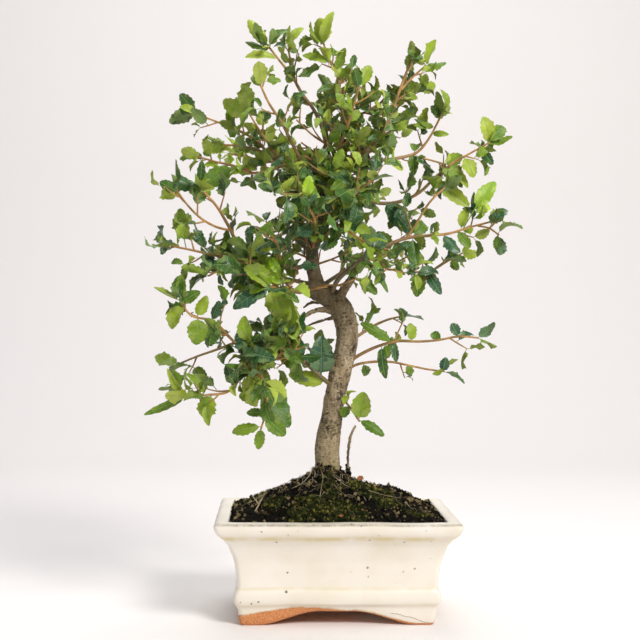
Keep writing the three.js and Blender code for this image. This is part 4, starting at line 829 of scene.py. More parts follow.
BRANCHES = {
    "branch_right_top": [
        stem(2.3, 0.8, 4, 0.22, """-10 301 4, 0 314 -4, 5 322 -6, 9 330 -8, 15 337 -9, 23 344 -9, 30 351 -8,
            36 363 -8, 40 373 -8, 44 384 -7, 47 393 -7, 51 403 -6, 55 414 -5"""),
        stem(1, 0.7, 1, 0.3, "47 390 -7, 54 398 -2, 66 409 6"),
    ],
    "branch_right_high": [
        stem(1.7, 0.7, 3, 0.22, """13 336 -9, 23 336 -8, 30 336 -6, 40 337 -4, 47 338 -2, 55 340 0,
            61 343 2, 65 346 3, 69 353 3, 72 359 3, 75 366 2, 77 369 2""",
             "0.55 57 324 8 0.1, 1 70 378 8 0.1, 0.83 84 356 5 0.1, 0.9 57 363 6 0.1"),
        stem(0.9, 0.7, 1, 0.3, "53 340 0, 59 340 4, 70 336 8, 82 333 12"),
    ],
    "shoot_front_high": [
        stem(1.4, 0.8, 2, 0.3, "14 336 -10, 20 344 -20, 28 350 -26, 36 357 -30, 45 362 -34"),
    ],
    "branch_left_front": [
        stem(1.9, 0.8, 3, 0.22, """-10 301 4, -23 322 -8, -27 330 -12, -32 340 -16, -37 350 -20,
            -42 359 -24, -46 367 -26, -51 374 -28, -56 382 -29, -61 393 -30"""),
    ],
    "branch_left_high": [
        stem(2, 0.8, 3, 0.22, """-10 322 3, -30 330 14, -45 334 20, -54 338 23, -62 343 25, -72 345 26,
            -79 347 26, -89 347 26"""),
        stem(1.2, 0.7, 2, 0.3, "-46 335 20, -59 355 12, -65 363 10, -70 372 8"),
    ],
    "shoot_left_long": [
        stem(1.3, 0.7, 1, 0.4, """-54 338 23, -62 349 28, -70 354 30, -79 359 32, -91 363 34, -103 368 35,
            -112 371 36""",
             "1 -123 376 7 0.1, 0.6 -85 376 8 0.1"),
    ],
    "shoot_left_high": [
        stem(1.3, 0.7, 2, 0.3, """-40 333 18, -54 327 14, -64 325 12, -72 327 12, -79 330 12, -89 334 13,
            -97 334 14, -109 338 15""",
             "0.6 -105 315 15 0.12, 1 -112 339 9 0.1, 0.95 -107 314 7 0.1"),
    ],
    "branch_top_left": [
        stem(1.8, 0.8, 3, 0.22, """-10 348 1, -16 368 8, -22 377 11, -30 388 14, -37 400 16, -45 410 17,
            -53 420 16, -56 424 16""",
             "1 -71 443 10 0.1, 0.98 -40 435 9 0.1, 0.95 -73 426 7 0.1, 0.85 -73 414 8 0.1"),
        stem(1, 0.7, 1, 0.3, "-34 396 15, -37 405 21, -39 416 26, -40 426 28",
             "1 -28 437 7 0.1"),
    ],
    "branch_top": [
        stem(2.2, 0.8, 3, 0.22, """-9 346 0, -1 360 -3, 5 373 -6, 3 380 -7, -1 390 -6, -2 401 -5, -7 410 -3,
            -11 419 -1, -13 426 0""",
             "1 -16 445 14 0.1, 0.97 -5 450 9 0.1, 0.8 -29 416 7 0.1, 0.72 4 422 7 0.1"),
        stem(1.2, 0.7, 2, 0.3, "4 372 -6, 15 371 4, 20 374 8, 32 380 12, 43 387 14"),
    ],
    "branch_front_top": [
        stem(2, 0.8, 3, 0.22, """-10 327 2, -1 336 -14, 1 350 -22, 5 359 -26, 7 367 -29, 10 376 -33,
            13 386 -36, 15 393 -38"""),
    ],
    "branch_left_low": [
        stem(1.9, 0.7, 3, 0.22, """-19 258 8, -30 253 0, -43 255 -8, -53 256 -12, -68 258 -18, -79 258 -21,
            -89 260 -23, -99 263 -26, -109 265 -30, -118 267 -33, -129 269 -36""",
             "0.9 -122 298 11 0.25, 0.93 -136 274 3 0.1"),
        stem(1, 0.7, 1, 0.3, "-75 258 -20, -85 254 -26, -91 251 -30, -100 246 -34"),
    ],
    "shoot_left_rising": [
        stem(1.6, 0.8, 2, 0.3, """-68 258 -18, -76 268 -24, -85 285 -32, -95 301 -40, -103 309 -44,
            -106 313 -45"""),
        stem(1, 0.7, 1, 0.3, """-83 281 -30, -93 283 -38, -100 289 -44, -109 291 -48, -113 296 -50,
            -125 312 -54"""),
    ],
    "branch_left_bottom": [
        stem(1.8, 0.7, 3, 0.22, """-4 162 -4, -14 170 -12, -23 178 -18, -33 186 -24, -45 185 -30,
            -56 181 -34, -64 180 -38, -72 171 -44, -79 163 -48, -85 157 -52, -99 155 -56, -106 154 -58,
            -117 153 -60""",
             """0.1 -13 201 19 0.12, 0.05 -38 171 12 0.1, 0.42 -46 189 15 0.1, 0.86 -103 137 15 0.1,
            1 -131 175 6 0.1, 0.99 -149 139 6 0.12, 0.72 -86 178 8 0.12, 0.9 -117 171 6 0.1"""),
    ],
    "shoot_left_round": [
        stem(1.4, 0.7, 1, 0.3, """-54 181 -34, -66 185 -31, -76 192 -30, -82 198 -31, -85 201 -32,
            -89 208 -35, -95 211 -37, -103 214 -40, -114 216 -43, -122 220 -45, -122 228 -46""",
             """1 -121 247 8 0.08, 0.97 -106 234 9 0.08, 0.93 -128 205 12 0.08, 0.75 -101 231 9 0.1,
            0.62 -91 227 9 0.1, 0.74 -109 193 15 0.1, 0.6 -99 192 12 0.1"""),
    ],
    "shoot_left_flat": [
        stem(1.1, 0.7, 1, 0.3, """-79 195 -30, -89 192 -25, -96 188 -21, -103 186 -18, -114 182 -14,
            -123 178 -10"""),
    ],
    "shoot_hanging": [
        stem(1.3, 0.7, 0, 0.5, "-62 180 -37, -58 167 -40, -54 152 -41, -56 138 -42, -59 128 -43",
             """0.25 -37 130 19 0.12, 1 -61 113 8 0.1, 0.95 -81 126 9 0.1, 0.8 -40 124 12 0.1,
            0.55 -50 133 11 0.12, 0.5 -76 154 10 0.1, 0.2 -72 156 13 0.1, 0.75 -70 141 7 0.1"""),
    ],
    "branch_left_middle": [
        stem(1.8, 1, 1, 0.3, "-19 237 3, -31 234 -12, -41 236 -24, -53 238 -36",
             """0.45 -44 194 23 0.28, 0.9 -30 226 8 0.08, 1 -73 253 15 0.08, 0.95 -40 214 20 0.08,
            1 -81 221 13 0.1"""),
    ],
    "branch_right_long": [
        stem(2.1, 0.7, 3, 0.22, """-6 231 0, -1 243 -9, 7 251 -12, 17 259 -13, 26 265 -15, 36 270 -16,
            45 274 -17, 56 277 -17, 78 279 -18, 89 281 -18, 101 285 -18, 109 286 -18, 116 289 -18""",
             """0.3 38 234 7 0.1, 0.58 60 254 10 0.1, 0.85 120 320 12 0.45, 0.84 100 300 8 0.1,
            0.82 101 269 8 0.1, 0.74 93 265 11 0.1"""),
        stem(0.8, 0.7, 1, 0.5, "107 286 -18, 116 284 -24, 123 279 -28",
             "1 122 267 6 0.1"),
    ],
    "shoot_right_upright": [
        stem(1.1, 0.7, 1, 0.3, "52 276 -17, 61 290 -22, 66 299 -25, 74 309 -28, 82 316 -30"),
    ],
    "shoot_right_drooping": [
        stem(1.3, 0.7, 1, 0.5, """34 269 -16, 41 262 -14, 47 258 -12, 56 251 -8, 69 251 2, 78 255 8,
            87 261 14, 95 265 18""",
             "0.5 60 231 12 0.1, 0.55 79 233 9 0.1, 0.85 92 252 7 0.1"),
    ],
    "branch_right_middle": [
        stem(2, 0.7, 3, 0.22, """-10 303 4, 0 313 8, 9 309 12, 17 307 14, 24 304 16, 32 303 17, 43 304 18,
            50 305 18, 60 310 16, 70 320 14, 83 330 12, 89 336 10, 101 342 8, 109 347 7, 115 350 6""",
             """0.36 56 279 14 0.08, 0.08 18 288 20 0.08, 1 110 370 12 0.1, 0.99 133 355 7 0.08,
            0.95 118 333 7 0.1, 0.78 93 324 10 0.1, 0.85 103 323 12 0.1, 0.74 99 315 9 0.1,
            0.66 100 301 12 0.1"""),
        stem(0.9, 0.7, 1, 0.4, "41 304 18, 50 297 26, 56 291 32"),
    ],
    "shoot_right_low": [
        stem(1.4, 0.7, 1, 0.8, """7 180 -4, 14 185 -9, 26 191 -12, 36 195 -15, 43 197 -16, 56 197 -18,
            69 197 -19, 82 199 -20, 93 201 -21, 101 201 -22, 108 200 -23""",
             """0.38 17 211 8 0.08, 0.52 55 211 9 0.1, 0.86 87 211 8 0.1, 0.3 37 168 8 0.1,
            0.4 45 181 6 0.1, 0.68 76 205 8 0.1, 0.33 39 184 6 0.1"""),
    ],
    "shoot_right_second": [
        stem(1.2, 0.7, 1, 0.7, """3 170 -3, 11 177 4, 18 180 8, 28 181 11, 41 181 14, 51 179 17, 59 178 19,
            66 176 20, 82 174 22""",
             "1 83 185 8 0.1, 0.92 78 171 9 0.1, 0.7 54 172 7 0.1, 0.25 21 170 8 0.1"),
    ],
    "shoot_right_bottom": [
        stem(1.1, 0.7, 0, 0.5, "-1 157 -3, 6 152 -9, 10 144 -14, 17 135 -18",
             "0.95 20 158 15 0.1, 1 36 124 8 0.1, 0.5 4 138 8 0.12"),
    ],
    "shoot_front_middle": [
        stem(1.6, 0.8, 2, 0.3, "-11 294 6, -7 290 -10, 1 285 -24, 9 280 -34, 15 275 -40, 20 273 -44"),
    ],
    # Towards the front
    "shoot_front_1": [
        stem(1.6, 0.8, 3, 0.3, "-19 268 9, -20 279 -22, -18 288 -48, -22 297 -72"),
    ],
    "shoot_front_2": [
        stem(1.6, 0.8, 3, 0.3, "-10 318 2, -22 312 -26, -38 309 -50, -50 312 -68"),
    ],
    "shoot_front_3": [
        stem(1.5, 0.8, 3, 0.3, "-10 308 3, 4 312 -32, 14 314 -54, 26 320 -72"),
    ],
    "shoot_front_4": [
        stem(1.3, 0.8, 2, 0.3, "-45 255 -9, -46 266 -34, -50 276 -54, -56 281 -68"),
    ],
    "shoot_front_5": [
        stem(1.3, 0.8, 1, 0.3, "20 261 -14, 30 259 -36, 38 252 -54, 44 252 -66"),
    ],
    # Towards the back
    "branch_back_1": [
        stem(2, 0.8, 3, 0.22, "-19 262 8, -30 272 38, -44 282 66, -56 288 90"),
    ],
    "branch_back_2": [
        stem(2, 0.8, 3, 0.22, "-13 286 7, 2 296 36, 16 306 62, 30 310 88"),
    ],
    "branch_back_3": [
        stem(1.8, 0.8, 3, 0.22, "-10 309 4, -22 318 38, -30 330 66, -36 338 90"),
    ],
    "branch_back_4": [
        stem(1.7, 0.8, 3, 0.22, "-10 328 2, 6 344 28, 24 354 52, 38 360 72"),
    ],
    "branch_back_5": [
        stem(1.6, 0.8, 3, 0.3, "-9 344 0, -10 366 24, -4 384 44, 2 398 58"),
    ],
    "branch_back_6": [
        stem(1.9, 0.8, 3, 0.22, "-14 238 4, 4 250 28, 26 260 52, 46 266 76"),
    ],
    "branch_back_7": [
        stem(1.9, 0.8, 3, 0.22, "-19 240 5, -38 244 30, -58 250 54, -78 256 74"),
    ],
    "shoot_back_8": [
        stem(1.2, 0.8, 1, 0.35, "-46 335 20, -58 334 44, -70 338 64, -80 340 80"),
    ],
    "branch_back_9": [
        stem(1.6, 0.8, 3, 0.3, "1 167 -2, -14 184 24, -34 198 44, -58 206 60"),
    ],
    "branch_back_10": [
        stem(1.6, 0.8, 2, 0.3, "5 194 -3, 20 204 24, 34 212 46, 48 216 66"),
    ],
    "shoot_back_11": [
        stem(1.1, 0.8, 1, 0.3, "42 378 -8, 48 380 14, 54 386 32, 60 392 44"),
    ],
}
BRANCH_NODES = list(BRANCHES)
print("branches", len(BRANCHES), "stems", sum(len(stems) for stems in BRANCHES.values()))

# %% A smooth curve in even steps
UP = Vector((0, 0, 1))
SHOOT_STEP = 16
CURVE_PARTS = 200


def curve_point(points, share):
    """A point of the smooth curve through the points."""
    last = len(points) - 1
    spot = last * share
    index = min(int(spot), last - 1)
    part = spot - index
    second, third = points[index], points[index + 1]
    first = points[index - 1] if index > 0 else 2 * points[0] - points[1]
    fourth = points[index + 2] if index + 2 <= last else 2 * points[last] - points[last - 1]
    start_pull, end_pull = 0.5 * (third - first), 0.5 * (fourth - second)
    square = -3 * second + 3 * third - 2 * start_pull - end_pull
    cube = 2 * second - 2 * third + start_pull + end_pull
    return second + start_pull * part + square * part ** 2 + cube * part ** 3


def stem_line(places, step=SHOOT_STEP):
    """Even steps along the curve through a stem's places, in millimetres."""
    points = [np.array(in_front(*place)) for place in places]
    samples = [curve_point(points, i / CURVE_PARTS) for i in range(CURVE_PARTS + 1)]
    travelled = np.cumsum([0, *[float(np.linalg.norm(b - a)) for a, b in zip(samples, samples[1:])]])
    count = max(2, math.floor(travelled[-1] / step + 0.5))
    even = np.linspace(0, travelled[-1], count + 1)
    shares = np.interp(even, travelled, np.linspace(0, 1, CURVE_PARTS + 1))
    return [Vector(curve_point(points, share)) for share in shares]


def on_line(line, along):
    """The point and the direction at a share of the way along a line."""
    spot = min(along, 0.9999) * (len(line) - 1)
    before = int(spot)
    direction = line[before + 1] - line[before]
    return line[before] + direction * (spot - before), direction.normalized()


def line_length(line):
    return sum((b - a).length for a, b in zip(line, line[1:]))


def fine_line(line, steps):
    """A smoother line through the same points, with more steps between them."""
    points = [np.array(point) for point in line]
    count = steps * (len(points) - 1)
    return [Vector(curve_point(points, i / count)) for i in range(count + 1)]


def radius_at(radii, along):
    return float(np.interp(along * (len(radii) - 1), range(len(radii)), radii))


longest = max(line_length(stem_line(part["places"])) for stems in BRANCHES.values() for part in stems)
print("longest stem in mm", round(longest))

# %% [markdown]
# ## The trunk
#
# A young oak's bark is thin and grey, with small pits, flakes and shallow furrows that run up the stem. The
# stems of the trunk are grown as smooth tubes, fused to one skin by a voxel remesh, and pushed in and out by
# noise that is drawn out along the trunk.

# %% The skin of the trunk
BARK_VOXEL = 0.75
TRUNK_SIDES = 20
UNEVEN = 0.16
trunk_points, trunk_faces = [], []
for entry in TRUNK_STEMS:
    line = fine_line(stem_line(entry["places"], entry["step"]), 4)
    start, last = len(trunk_points), len(line) - 1
    normal = Vector((0.31, -0.9, 0.3))
    for index, middle in enumerate(line):
        direction = (line[min(index + 1, last)] - line[max(index - 1, 0)]).normalized()
        normal = (normal - direction * normal.dot(direction)).normalized()
        binormal = direction.cross(normal)
        for side in range(TRUNK_SIDES):
            angle = side / TRUNK_SIDES * 2 * math.pi
            out = normal * math.cos(angle) + binormal * math.sin(angle)
            swell = 1 + UNEVEN * noise.noise(middle / 24 + out * 0.8)
            trunk_points.append(in_scene(middle + out * radius_at(entry["radii"], index / last) * swell))
    trunk_faces += ring_faces(TRUNK_SIDES, last + 1, start)
    high = start + last * TRUNK_SIDES
    trunk_faces += [range(start, start + TRUNK_SIDES)[::-1], range(high, high + TRUNK_SIDES)]
trunk = new_object("oak_trunk_tubes", trunk_points, trunk_faces)
fuse = trunk.modifiers.new("fuse", "REMESH")
fuse.mode, fuse.voxel_size, fuse.use_smooth_shade = "VOXEL", BARK_VOXEL * MM, True
trunk = as_plain_mesh(trunk, "oak_trunk")


def bark_relief(place):
    """How far the bark stands out at a place, in millimetres."""
    drawn = Vector((place.x, place.y, place.z * 0.42))
    swell = noise.noise(place / 13) * 0.6
    furrow = -abs(noise.noise(drawn / 2.3 + Vector((4, 1, 0)))) * 0.8 + 0.2
    level = Vector((place.x, place.y, place.z * 2.1))
    flake = noise.noise(level / 2.6) * 0.42 + noise.noise(place / 1.3) * 0.25
    pit = -max(0.0, noise.noise(level / 2.9 + Vector((0, 7, 2))) - 0.34) * 2.4
    return swell + furrow + flake + pit


vertices = trunk.data.vertices
middles = [(vertex.co - POT_MIDDLE) / MM for vertex in vertices]
normals = [vertex.normal.copy() for vertex in vertices]
relief = [bark_relief(place) for place in middles]
shoot_share = [ease(place.z, 250, 330) for place in middles]
for vertex, normal, height, thin in zip(vertices, normals, relief, shoot_share):
    vertex.co += normal * height * (0.85 - 0.55 * thin) * MM
trunk.data.update()
store(trunk, "relief", relief)
store(trunk, "height", [place.z for place in middles])
print("trunk points", len(vertices))

# %% Oak bark
bark, shader, add, where = new_material("grey oak bark", Roughness=0.88)
lie, rise = [add("kept", attribute_name=name).outputs["Fac"] for name in ("relief", "height")]
drawn = add("vector", where, (1.0, 1.0, 0.4), operation="MULTIPLY")
level = add("vector", where, (1.0, 1.0, 2.4), operation="MULTIPLY")
patches = add("noise", drawn, per(7), 5, 0.65)
base = add("ramp", patches, stops={0.3: "7f6c4e", 0.46: "9d8a69", 0.6: "b3a182", 0.74: "c8ba9c"})
# Painted shade: the low parts of the relief, its furrows and pits, are darkened towards 43372a.
tone = add("blend", add("within", lie, -0.6, 0.1), "43372a", base)
flecks = add("MULTIPLY", add("within", add("noise", level, per(2.4), 4, 0.7), 0.56, 0.68), 0.55)
specks = add("MULTIPLY", add("within", add("noise", level, per(1.8), 5, 0.8), 0.38, 0.47), -0.7)
cracks = add("ABSOLUTE", add("SUBTRACT", add("noise", drawn, per(2.6), 5, 0.7), 0.5))
cracked = add("MULTIPLY_ADD", add("within", cracks, 0.004, 0.026), -0.5, 0.5)
low = add("SUBTRACT", 1, add("within", rise, 105, 165))
algae_cloud = add("within", add("noise", where, per(11), 4, 0.7), 0.42, 0.62)
algae = add("MULTIPLY", add("MULTIPLY", low, algae_cloud), 0.6)
# Painted shade, with some moss: the bark darkens towards 5a4c33 from 200 to 246 mm up, at the bend under the
# crown.
crown_shade_and_moss = add("MULTIPLY", add("within", rise, 200, 246), 0.62)
tone = layered(add, tone, (flecks, "cfc3a9"), (add("ADD", specks, 0.7), "40331f"), (cracked, "3c3020"),
               (algae, "8a8350"), (crown_shade_and_moss, "5a4c33"))
grainy = add("bump", Height=add("noise", drawn, per(1.2), 5, 0.7), Distance=0.45 * MM, Strength=0.8)
feed(shader, {"Base Color": tone, "Normal": grainy})
trunk.data.materials.append(bark)
finish_piece(trunk, "bark", "tree_trunk")

# %% [markdown]
# Peat and moss creep up the foot of the trunk, higher in some places than in others. The tree that strewed
# the soil strews them on the bark too, where a stored value allows it.

# %% Peat and moss on the foot of the trunk
foot_rise = [
    5 + 6 * noise.noise(Vector((place.x / 5, place.y / 5, 2))) - (place.z - 106) for place in middles
]
store(trunk, "peaty", [ease(rise, 0, 3) if rise < 14 else 0 for rise in foot_rise])
for piece in (
    strewn_piece("peat_collar", trunk, crumb_shapes, earth, 0.9, 3.4,
                 Density=900000.0, Upright=0.0, Seed=31, Where="peaty"),
    strewn_piece("moss_collar", trunk, tuft_shapes, cushion, 1.2, 3.0,
                 Density=350000.0, Upright=0.6, Seed=32, Where="peaty"),
):
    finish_piece(piece, "soil", "soil")

# %% [markdown]
# ## Leaves that grow by rule
#
# Oak leaves stand in pairs that turn round the stem by the golden angle. The rule below is the one that laid
# out the solids, number for number, so each fine leaf lies where its solid lies. Some solids were turned
# round their root to clear a neighbour. The script finds which turn was taken by looking for the tip.

# %% The rule of the leaves
GOLDEN_ANGLE = 2.39996
PAIR_ANGLE = 2.6
CROWN_MIDDLE = in_front(-12, 290, 0)
LEAF_LENGTH = 19
ROOT_SINK = 1.4
LEAF_FORMS = [(0.25, 0.3, 0.16), (0.6, -0.25, 0.2), (-0.2, 0.45, 0.12), (0.45, 0.1, 0.28), (0.8, 0.35, 0.14),
              (0.1, -0.4, 0.22), (0.5, 0.55, 0.18), (-0.35, 0.2, 0.26)]
LEAF_TURNS = [0, 0.45, -0.45, 0.9, -0.9]
TIP_MATCH = 0.5


def pick(forms, draw):
    return forms[int(draw() * len(forms))]


def across_stem(direction):
    """A level direction across a stem, or along the front where the stem stands upright."""
    across = direction.cross(UP)
    return across.normalized() if across.length >= 0.2 else Vector((1, 0, 0))


def leaf_on_stem(root, direction, turn, lean, draw):
    across = across_stem(direction)
    angle = turn + (draw() - 0.5) * 0.9
    length = LEAF_LENGTH * (0.7 + 0.55 * draw())
    spread = across.cross(direction) * math.cos(angle) + across * math.sin(angle)
    axis = spread + direction * (lean + 0.7 * draw()) + UP * 0.12
    outwards = root - CROWN_MIDDLE
    outwards.z = 0
    face = Vector((draw() - 0.5, draw() - 0.5, draw() - 0.5)) * 1.3 + UP * 0.55 + outwards.normalized() * 0.6
    width = length * (0.48 + 0.16 * draw())
    return {"root": root, "tip": root + axis.normalized() * length, "face": face, "width": width,
            "stalk": 0.12, "form": pick(LEAF_FORMS, draw)}


def leaf_pairs(line, pairs, start, draw):
    sunk_end = 1 - ROOT_SINK / line_length(line)
    leaves = []
    for index in range(2 * pairs):
        pair = index // 2
        last = pair == pairs - 1
        along = sunk_end if last else start + (1 - start) * (pair + 0.6 * draw()) / pairs
        turn = pair * GOLDEN_ANGLE + (index % 2) * PAIR_ANGLE
        leaves.append(leaf_on_stem(*on_line(line, along), turn, 1.1 if last else 0.25, draw))
    return leaves


def broad_leaf(line, places, share, across, up, width, stalk, draw):
    along = min(share, 1 - ROOT_SINK / line_length(line))
    behind = radius_at([place[2] for place in places], along)
    tip = in_front(across, up, behind + (draw() - 0.6) * 10)
    face = Vector((draw() - 0.5, -1, 0.35 + (draw() - 0.5) * 0.9))
    return {"root": on_line(line, along)[0], "tip": tip, "face": face, "width": width, "stalk": stalk,
            "form": pick(LEAF_FORMS, draw)}


print("forms of a leaf", len(LEAF_FORMS))


# %% Grow the leaves of the solids
def as_built(leaf, corners):
    """The leaf with the turn that its solid took, or nothing if that solid was left out."""
    for angle in LEAF_TURNS:
        spin = Matrix.Rotation(angle, 3, leaf["face"].normalized())
        tip = leaf["root"] + spin @ (leaf["tip"] - leaf["root"])
        if np.min(np.linalg.norm(corners - np.array(tip), axis=1)) < TIP_MATCH:
            return {**leaf, "tip": tip}
    return None


crown_stems, crown_leaves, lost = [], [], 0
for index, (name, stems) in enumerate(BRANCHES.items()):
    draw = seeded(101 + index)
    solid = bpy.data.objects[name]
    corners = np.array([(solid.matrix_world @ v.co - POT_MIDDLE) / MM for v in solid.data.vertices])
    for part in stems:
        line = stem_line(part["places"])
        crown_stems.append({"branch": name, "line": line, **part})
        grown = [broad_leaf(line, part["places"], *numbers, draw) for numbers in part["broad"]]
        grown += leaf_pairs(line, part["pairs"], part["start"], draw)
        kept = [leaf for leaf in (as_built(leaf, corners) for leaf in grown) if leaf]
        crown_leaves += [{**leaf, "branch": name} for leaf in kept]
        lost += len(grown) - len(kept)
print("leaves of the solids", len(crown_leaves), "not found", lost)

# %% [markdown]
# ## More leaves on short side twigs
#
# The solids carry one leaf where the real tree has five or six. Short side twigs fill the crown: each
# leaves its stem at a slant and carries up to five leaves. A new leaf is only kept close to a leaf of the
# solids, as seen from the front, so the outline and the gaps of the crown stay as they are.

# %% Where side twigs and their leaves may stand
TWIG_SPACING = 9.5
TWIG_LENGTH = (6, 19)
NEAR_IN_FRONT = 11.5
ROOM_BESIDE = 3
# How many side twigs a branch carries, as a share of the usual number.
USUAL_ON_THE_RIGHT = 0.65
SHARE_OF_TWIGS = {
    "shoot_right_low": 0.2, "shoot_right_second": 0.2, "shoot_right_bottom": 0.1, "shoot_hanging": 0.3,
    "branch_left_bottom": 1.1, "shoot_left_long": 0.3, "branch_right_long": 0.5, "shoot_left_flat": 0.5,
    "shoot_left_round": 0.6, "branch_back_9": 0.5, "branch_back_10": 0.3, "branch_top_left": 0.7,
    "branch_left_low": 1.4,
}
# How the leaves of the side twigs are bent: arch, lift and wave. Most are folded or curled.
CURLED_FORMS = [(0.9, 0.5, 0.3), (0.5, 0.8, 0.2), (-0.5, 0.6, 0.34), (1.1, 0.1, 0.3), (0.3, -0.5, 0.3),
                (0.7, 1.0, 0.25), (1.3, 0.4, 0.2), (0.2, 0.3, 0.4), (-0.3, -0.6, 0.25)]
# Where leaves stand close on the lower left, also between those of the solids: across, up, reach.
THICKET = [(-50, 188, 24), (-26, 202, 20), (-64, 212, 22), (-42, 222, 20), (-46, 160, 16)]
# Gaps that stay open, as seen from in front: across, up, reach.
GAPS = [(-58, 298, 11), (-62, 216, 10), (80, 232, 14), (62, 222, 9), (-28, 352, 7), (28, 322, 6),
        (104, 232, 16), (50, 345, 10), (88, 358, 15)]


def seen_from_front(place):
    """Across and up in the tree's layout, in the plane of the trunk."""
    place = Matrix.Rotation(-TREE_TURN, 3, "Z") @ place
    spread = 1 + place.y / EYE_DISTANCE
    across = EYE_ACROSS + (place.x - EYE_ACROSS) / spread - TREE_ACROSS
    up = EYE_HEIGHT + (place.z - EYE_HEIGHT) / spread - TREE_RISE
    return Vector((across, up, 0))


def in_one_of(rounds, seen, more=0):
    """Whether a place lies in one of the rounds, made wider by a few millimetres."""
    return any(math.hypot(seen.x - across, seen.y - up) < reach + more for across, up, reach in rounds)


spots = [
    seen_from_front(leaf["root"].lerp(leaf["tip"], share))
    for leaf in crown_leaves
    for share in (0.35, 0.65, 1)
]
near_leaves = KDTree(len(spots))
for number, spot in enumerate(spots):
    near_leaves.insert(spot, number)
near_leaves.balance()
box_low = (Vector(solid_box[0]) - POT_MIDDLE) / MM - Vector((ROOM_BESIDE, ROOM_BESIDE, 0))
box_high = (Vector(solid_box[1]) - POT_MIDDLE) / MM + Vector((ROOM_BESIDE,) * 3)


def fits_crown(leaf):
    for share in (0.5, 1):
        place = leaf["root"].lerp(leaf["tip"], share)
        seen = seen_from_front(place)
        lonely = near_leaves.find(seen)[2] > NEAR_IN_FRONT and not in_one_of(THICKET, seen)
        outside = any(not low < value < high for value, low, high in zip(place, box_low, box_high))
        if lonely or outside or in_one_of(GAPS, seen):
            return False
    return True


print("places on leaves", len(spots))

# %% Short shoots in the middle of the crown and on the lower left
INNER_SHOOTS = 26
LOW_SHOOT_SPACING = 8
THICK_BRANCHES = ("branch_left_low", "branch_left_middle", "branch_left_bottom")


def short_shoot(kind, branch, root, heading, reach, droop, radii, draw):
    """A stem with one bend in its middle."""
    sag = Vector((draw() - 0.5, draw() - 0.5, draw() - 0.3)) * droop
    line = [root, root + heading * reach * 0.5 + sag, root + heading * reach]
    return {"kind": kind, "branch": branch, "line": line, "radii": radii, "start": 0.3}


draw = seeded(77)
leader = fine_line(stem_line(TRUNK_STEMS[1]["places"]), 4)
short_shoots = []
for number in range(INNER_SHOOTS):
    root = on_line(leader, 0.2 + 0.78 * (number + draw()) / INNER_SHOOTS)[0]
    angle = number * GOLDEN_ANGLE
    heading = Vector((math.cos(angle), math.sin(angle) - 0.35, 0.25 + 0.5 * draw())).normalized()
    reach = 18 + 24 * draw()
    short_shoots.append(short_shoot("inner", "branch_top", root, heading, reach, 6, (1.0, 0.6), draw))
for part in crown_stems:
    if part["branch"] in THICK_BRANCHES:
        for number in range(round(line_length(part["line"]) / LOW_SHOOT_SPACING)):
            root = on_line(part["line"], 0.1 + 0.85 * draw())[0]
            if in_one_of(THICKET, seen_from_front(root), 8):
                angle = number * GOLDEN_ANGLE
                heading = Vector((0.8 * math.cos(angle), 0.8 * math.sin(angle) - 0.2, 0.9 * draw() - 0.3))
                heading.normalize()
                reach = 14 + 20 * draw()
                short_shoots.append(
                    short_shoot("low", part["branch"], root, heading, reach, 5, (0.9, 0.5), draw)
                )
print("short shoots", len(short_shoots))


# %% Side twigs and their leaves
def twig_share(part):
    """How many side twigs a stem carries, as a share of the usual number."""
    if "kind" in part:
        return 1
    return SHARE_OF_TWIGS.get(part["branch"], USUAL_ON_THE_RIGHT if "right" in part["branch"] else 1)


side_twigs, extra_leaves = [], []
draw = seeded(4021)
for part in crown_stems + short_shoots:
    line = part["line"]
    start = max(part["start"], 0.14) if part["radii"][0] > 1.5 else 0.12
    count = max(1, round(twig_share(part) * (1 - start) * line_length(line) / TWIG_SPACING))
    for number in range(count):
        root, direction = on_line(line, start + (1 - start) * (number + 0.75 * draw()) / count)
        across = across_stem(direction)
        angle = number * GOLDEN_ANGLE + draw() * 1.2
        spread = across.cross(direction) * math.cos(angle) + across * math.sin(angle)
        heading = (spread + direction * (0.5 + 0.5 * draw()) + UP * 0.25).normalized()
        reach = TWIG_LENGTH[0] + (TWIG_LENGTH[1] - TWIG_LENGTH[0]) * draw()
        bend = Vector((draw() - 0.5, draw() - 0.5, draw() - 0.2)) * 0.5
        end = root + (heading + bend * 0.5).normalized() * reach
        grown = []
        for leaf_number in range(5 if draw() > 0.5 else 3):
            stand = root.lerp(end, 1 if leaf_number < 2 else 0.35 + 0.4 * draw())
            turn = leaf_number * PAIR_ANGLE + draw()
            leaf = leaf_on_stem(stand, heading, turn, 0.8 if leaf_number == 0 else 0.35, draw)
            size = (0.5 + 0.45 * draw()) * (1.35 if part.get("kind") == "low" else 1)
            leaf["tip"] = leaf["root"] + (leaf["tip"] - leaf["root"]) * size
            leaf["width"] *= size * (0.72 + 0.28 * draw())
            leaf.update(form=pick(CURLED_FORMS, draw), stalk=0.16, branch=part["branch"])
            if fits_crown(leaf):
                grown.append(leaf)
        if len(grown) > 1:
            extra_leaves += grown
            side_twigs.append({"line": [root, root + heading * reach * 0.5, end], "radii": (0.75, 0.45)})
print("side twigs", len(side_twigs), "more leaves", len(extra_leaves))

# %% [markdown]
# ## Twigs
#
# Young oak twigs are orange brown and slightly knobbly where leaves stood. The stems are written as chains of
# points with a thickness. A geometry tree turns the chains into curves and sweeps a small ring along them.

# %% A tree that sweeps wood along chains of points
sweep, add, source, sink = geometry_tree("sweep wood", Sides="Int", Material="Material")
ring = add("GeometryNodeCurvePrimitiveCircle", Resolution=source["Sides"], Radius=1.0)
swept = add("GeometryNodeCurveToMesh", Curve=add("GeometryNodeMeshToCurve", Mesh=source["Geometry"]),
            Profile_Curve=ring.outputs["Curve"], Scale=add("number", "thick"), Fill_Caps=True)
end_tree(add, sink, swept, source["Material"])


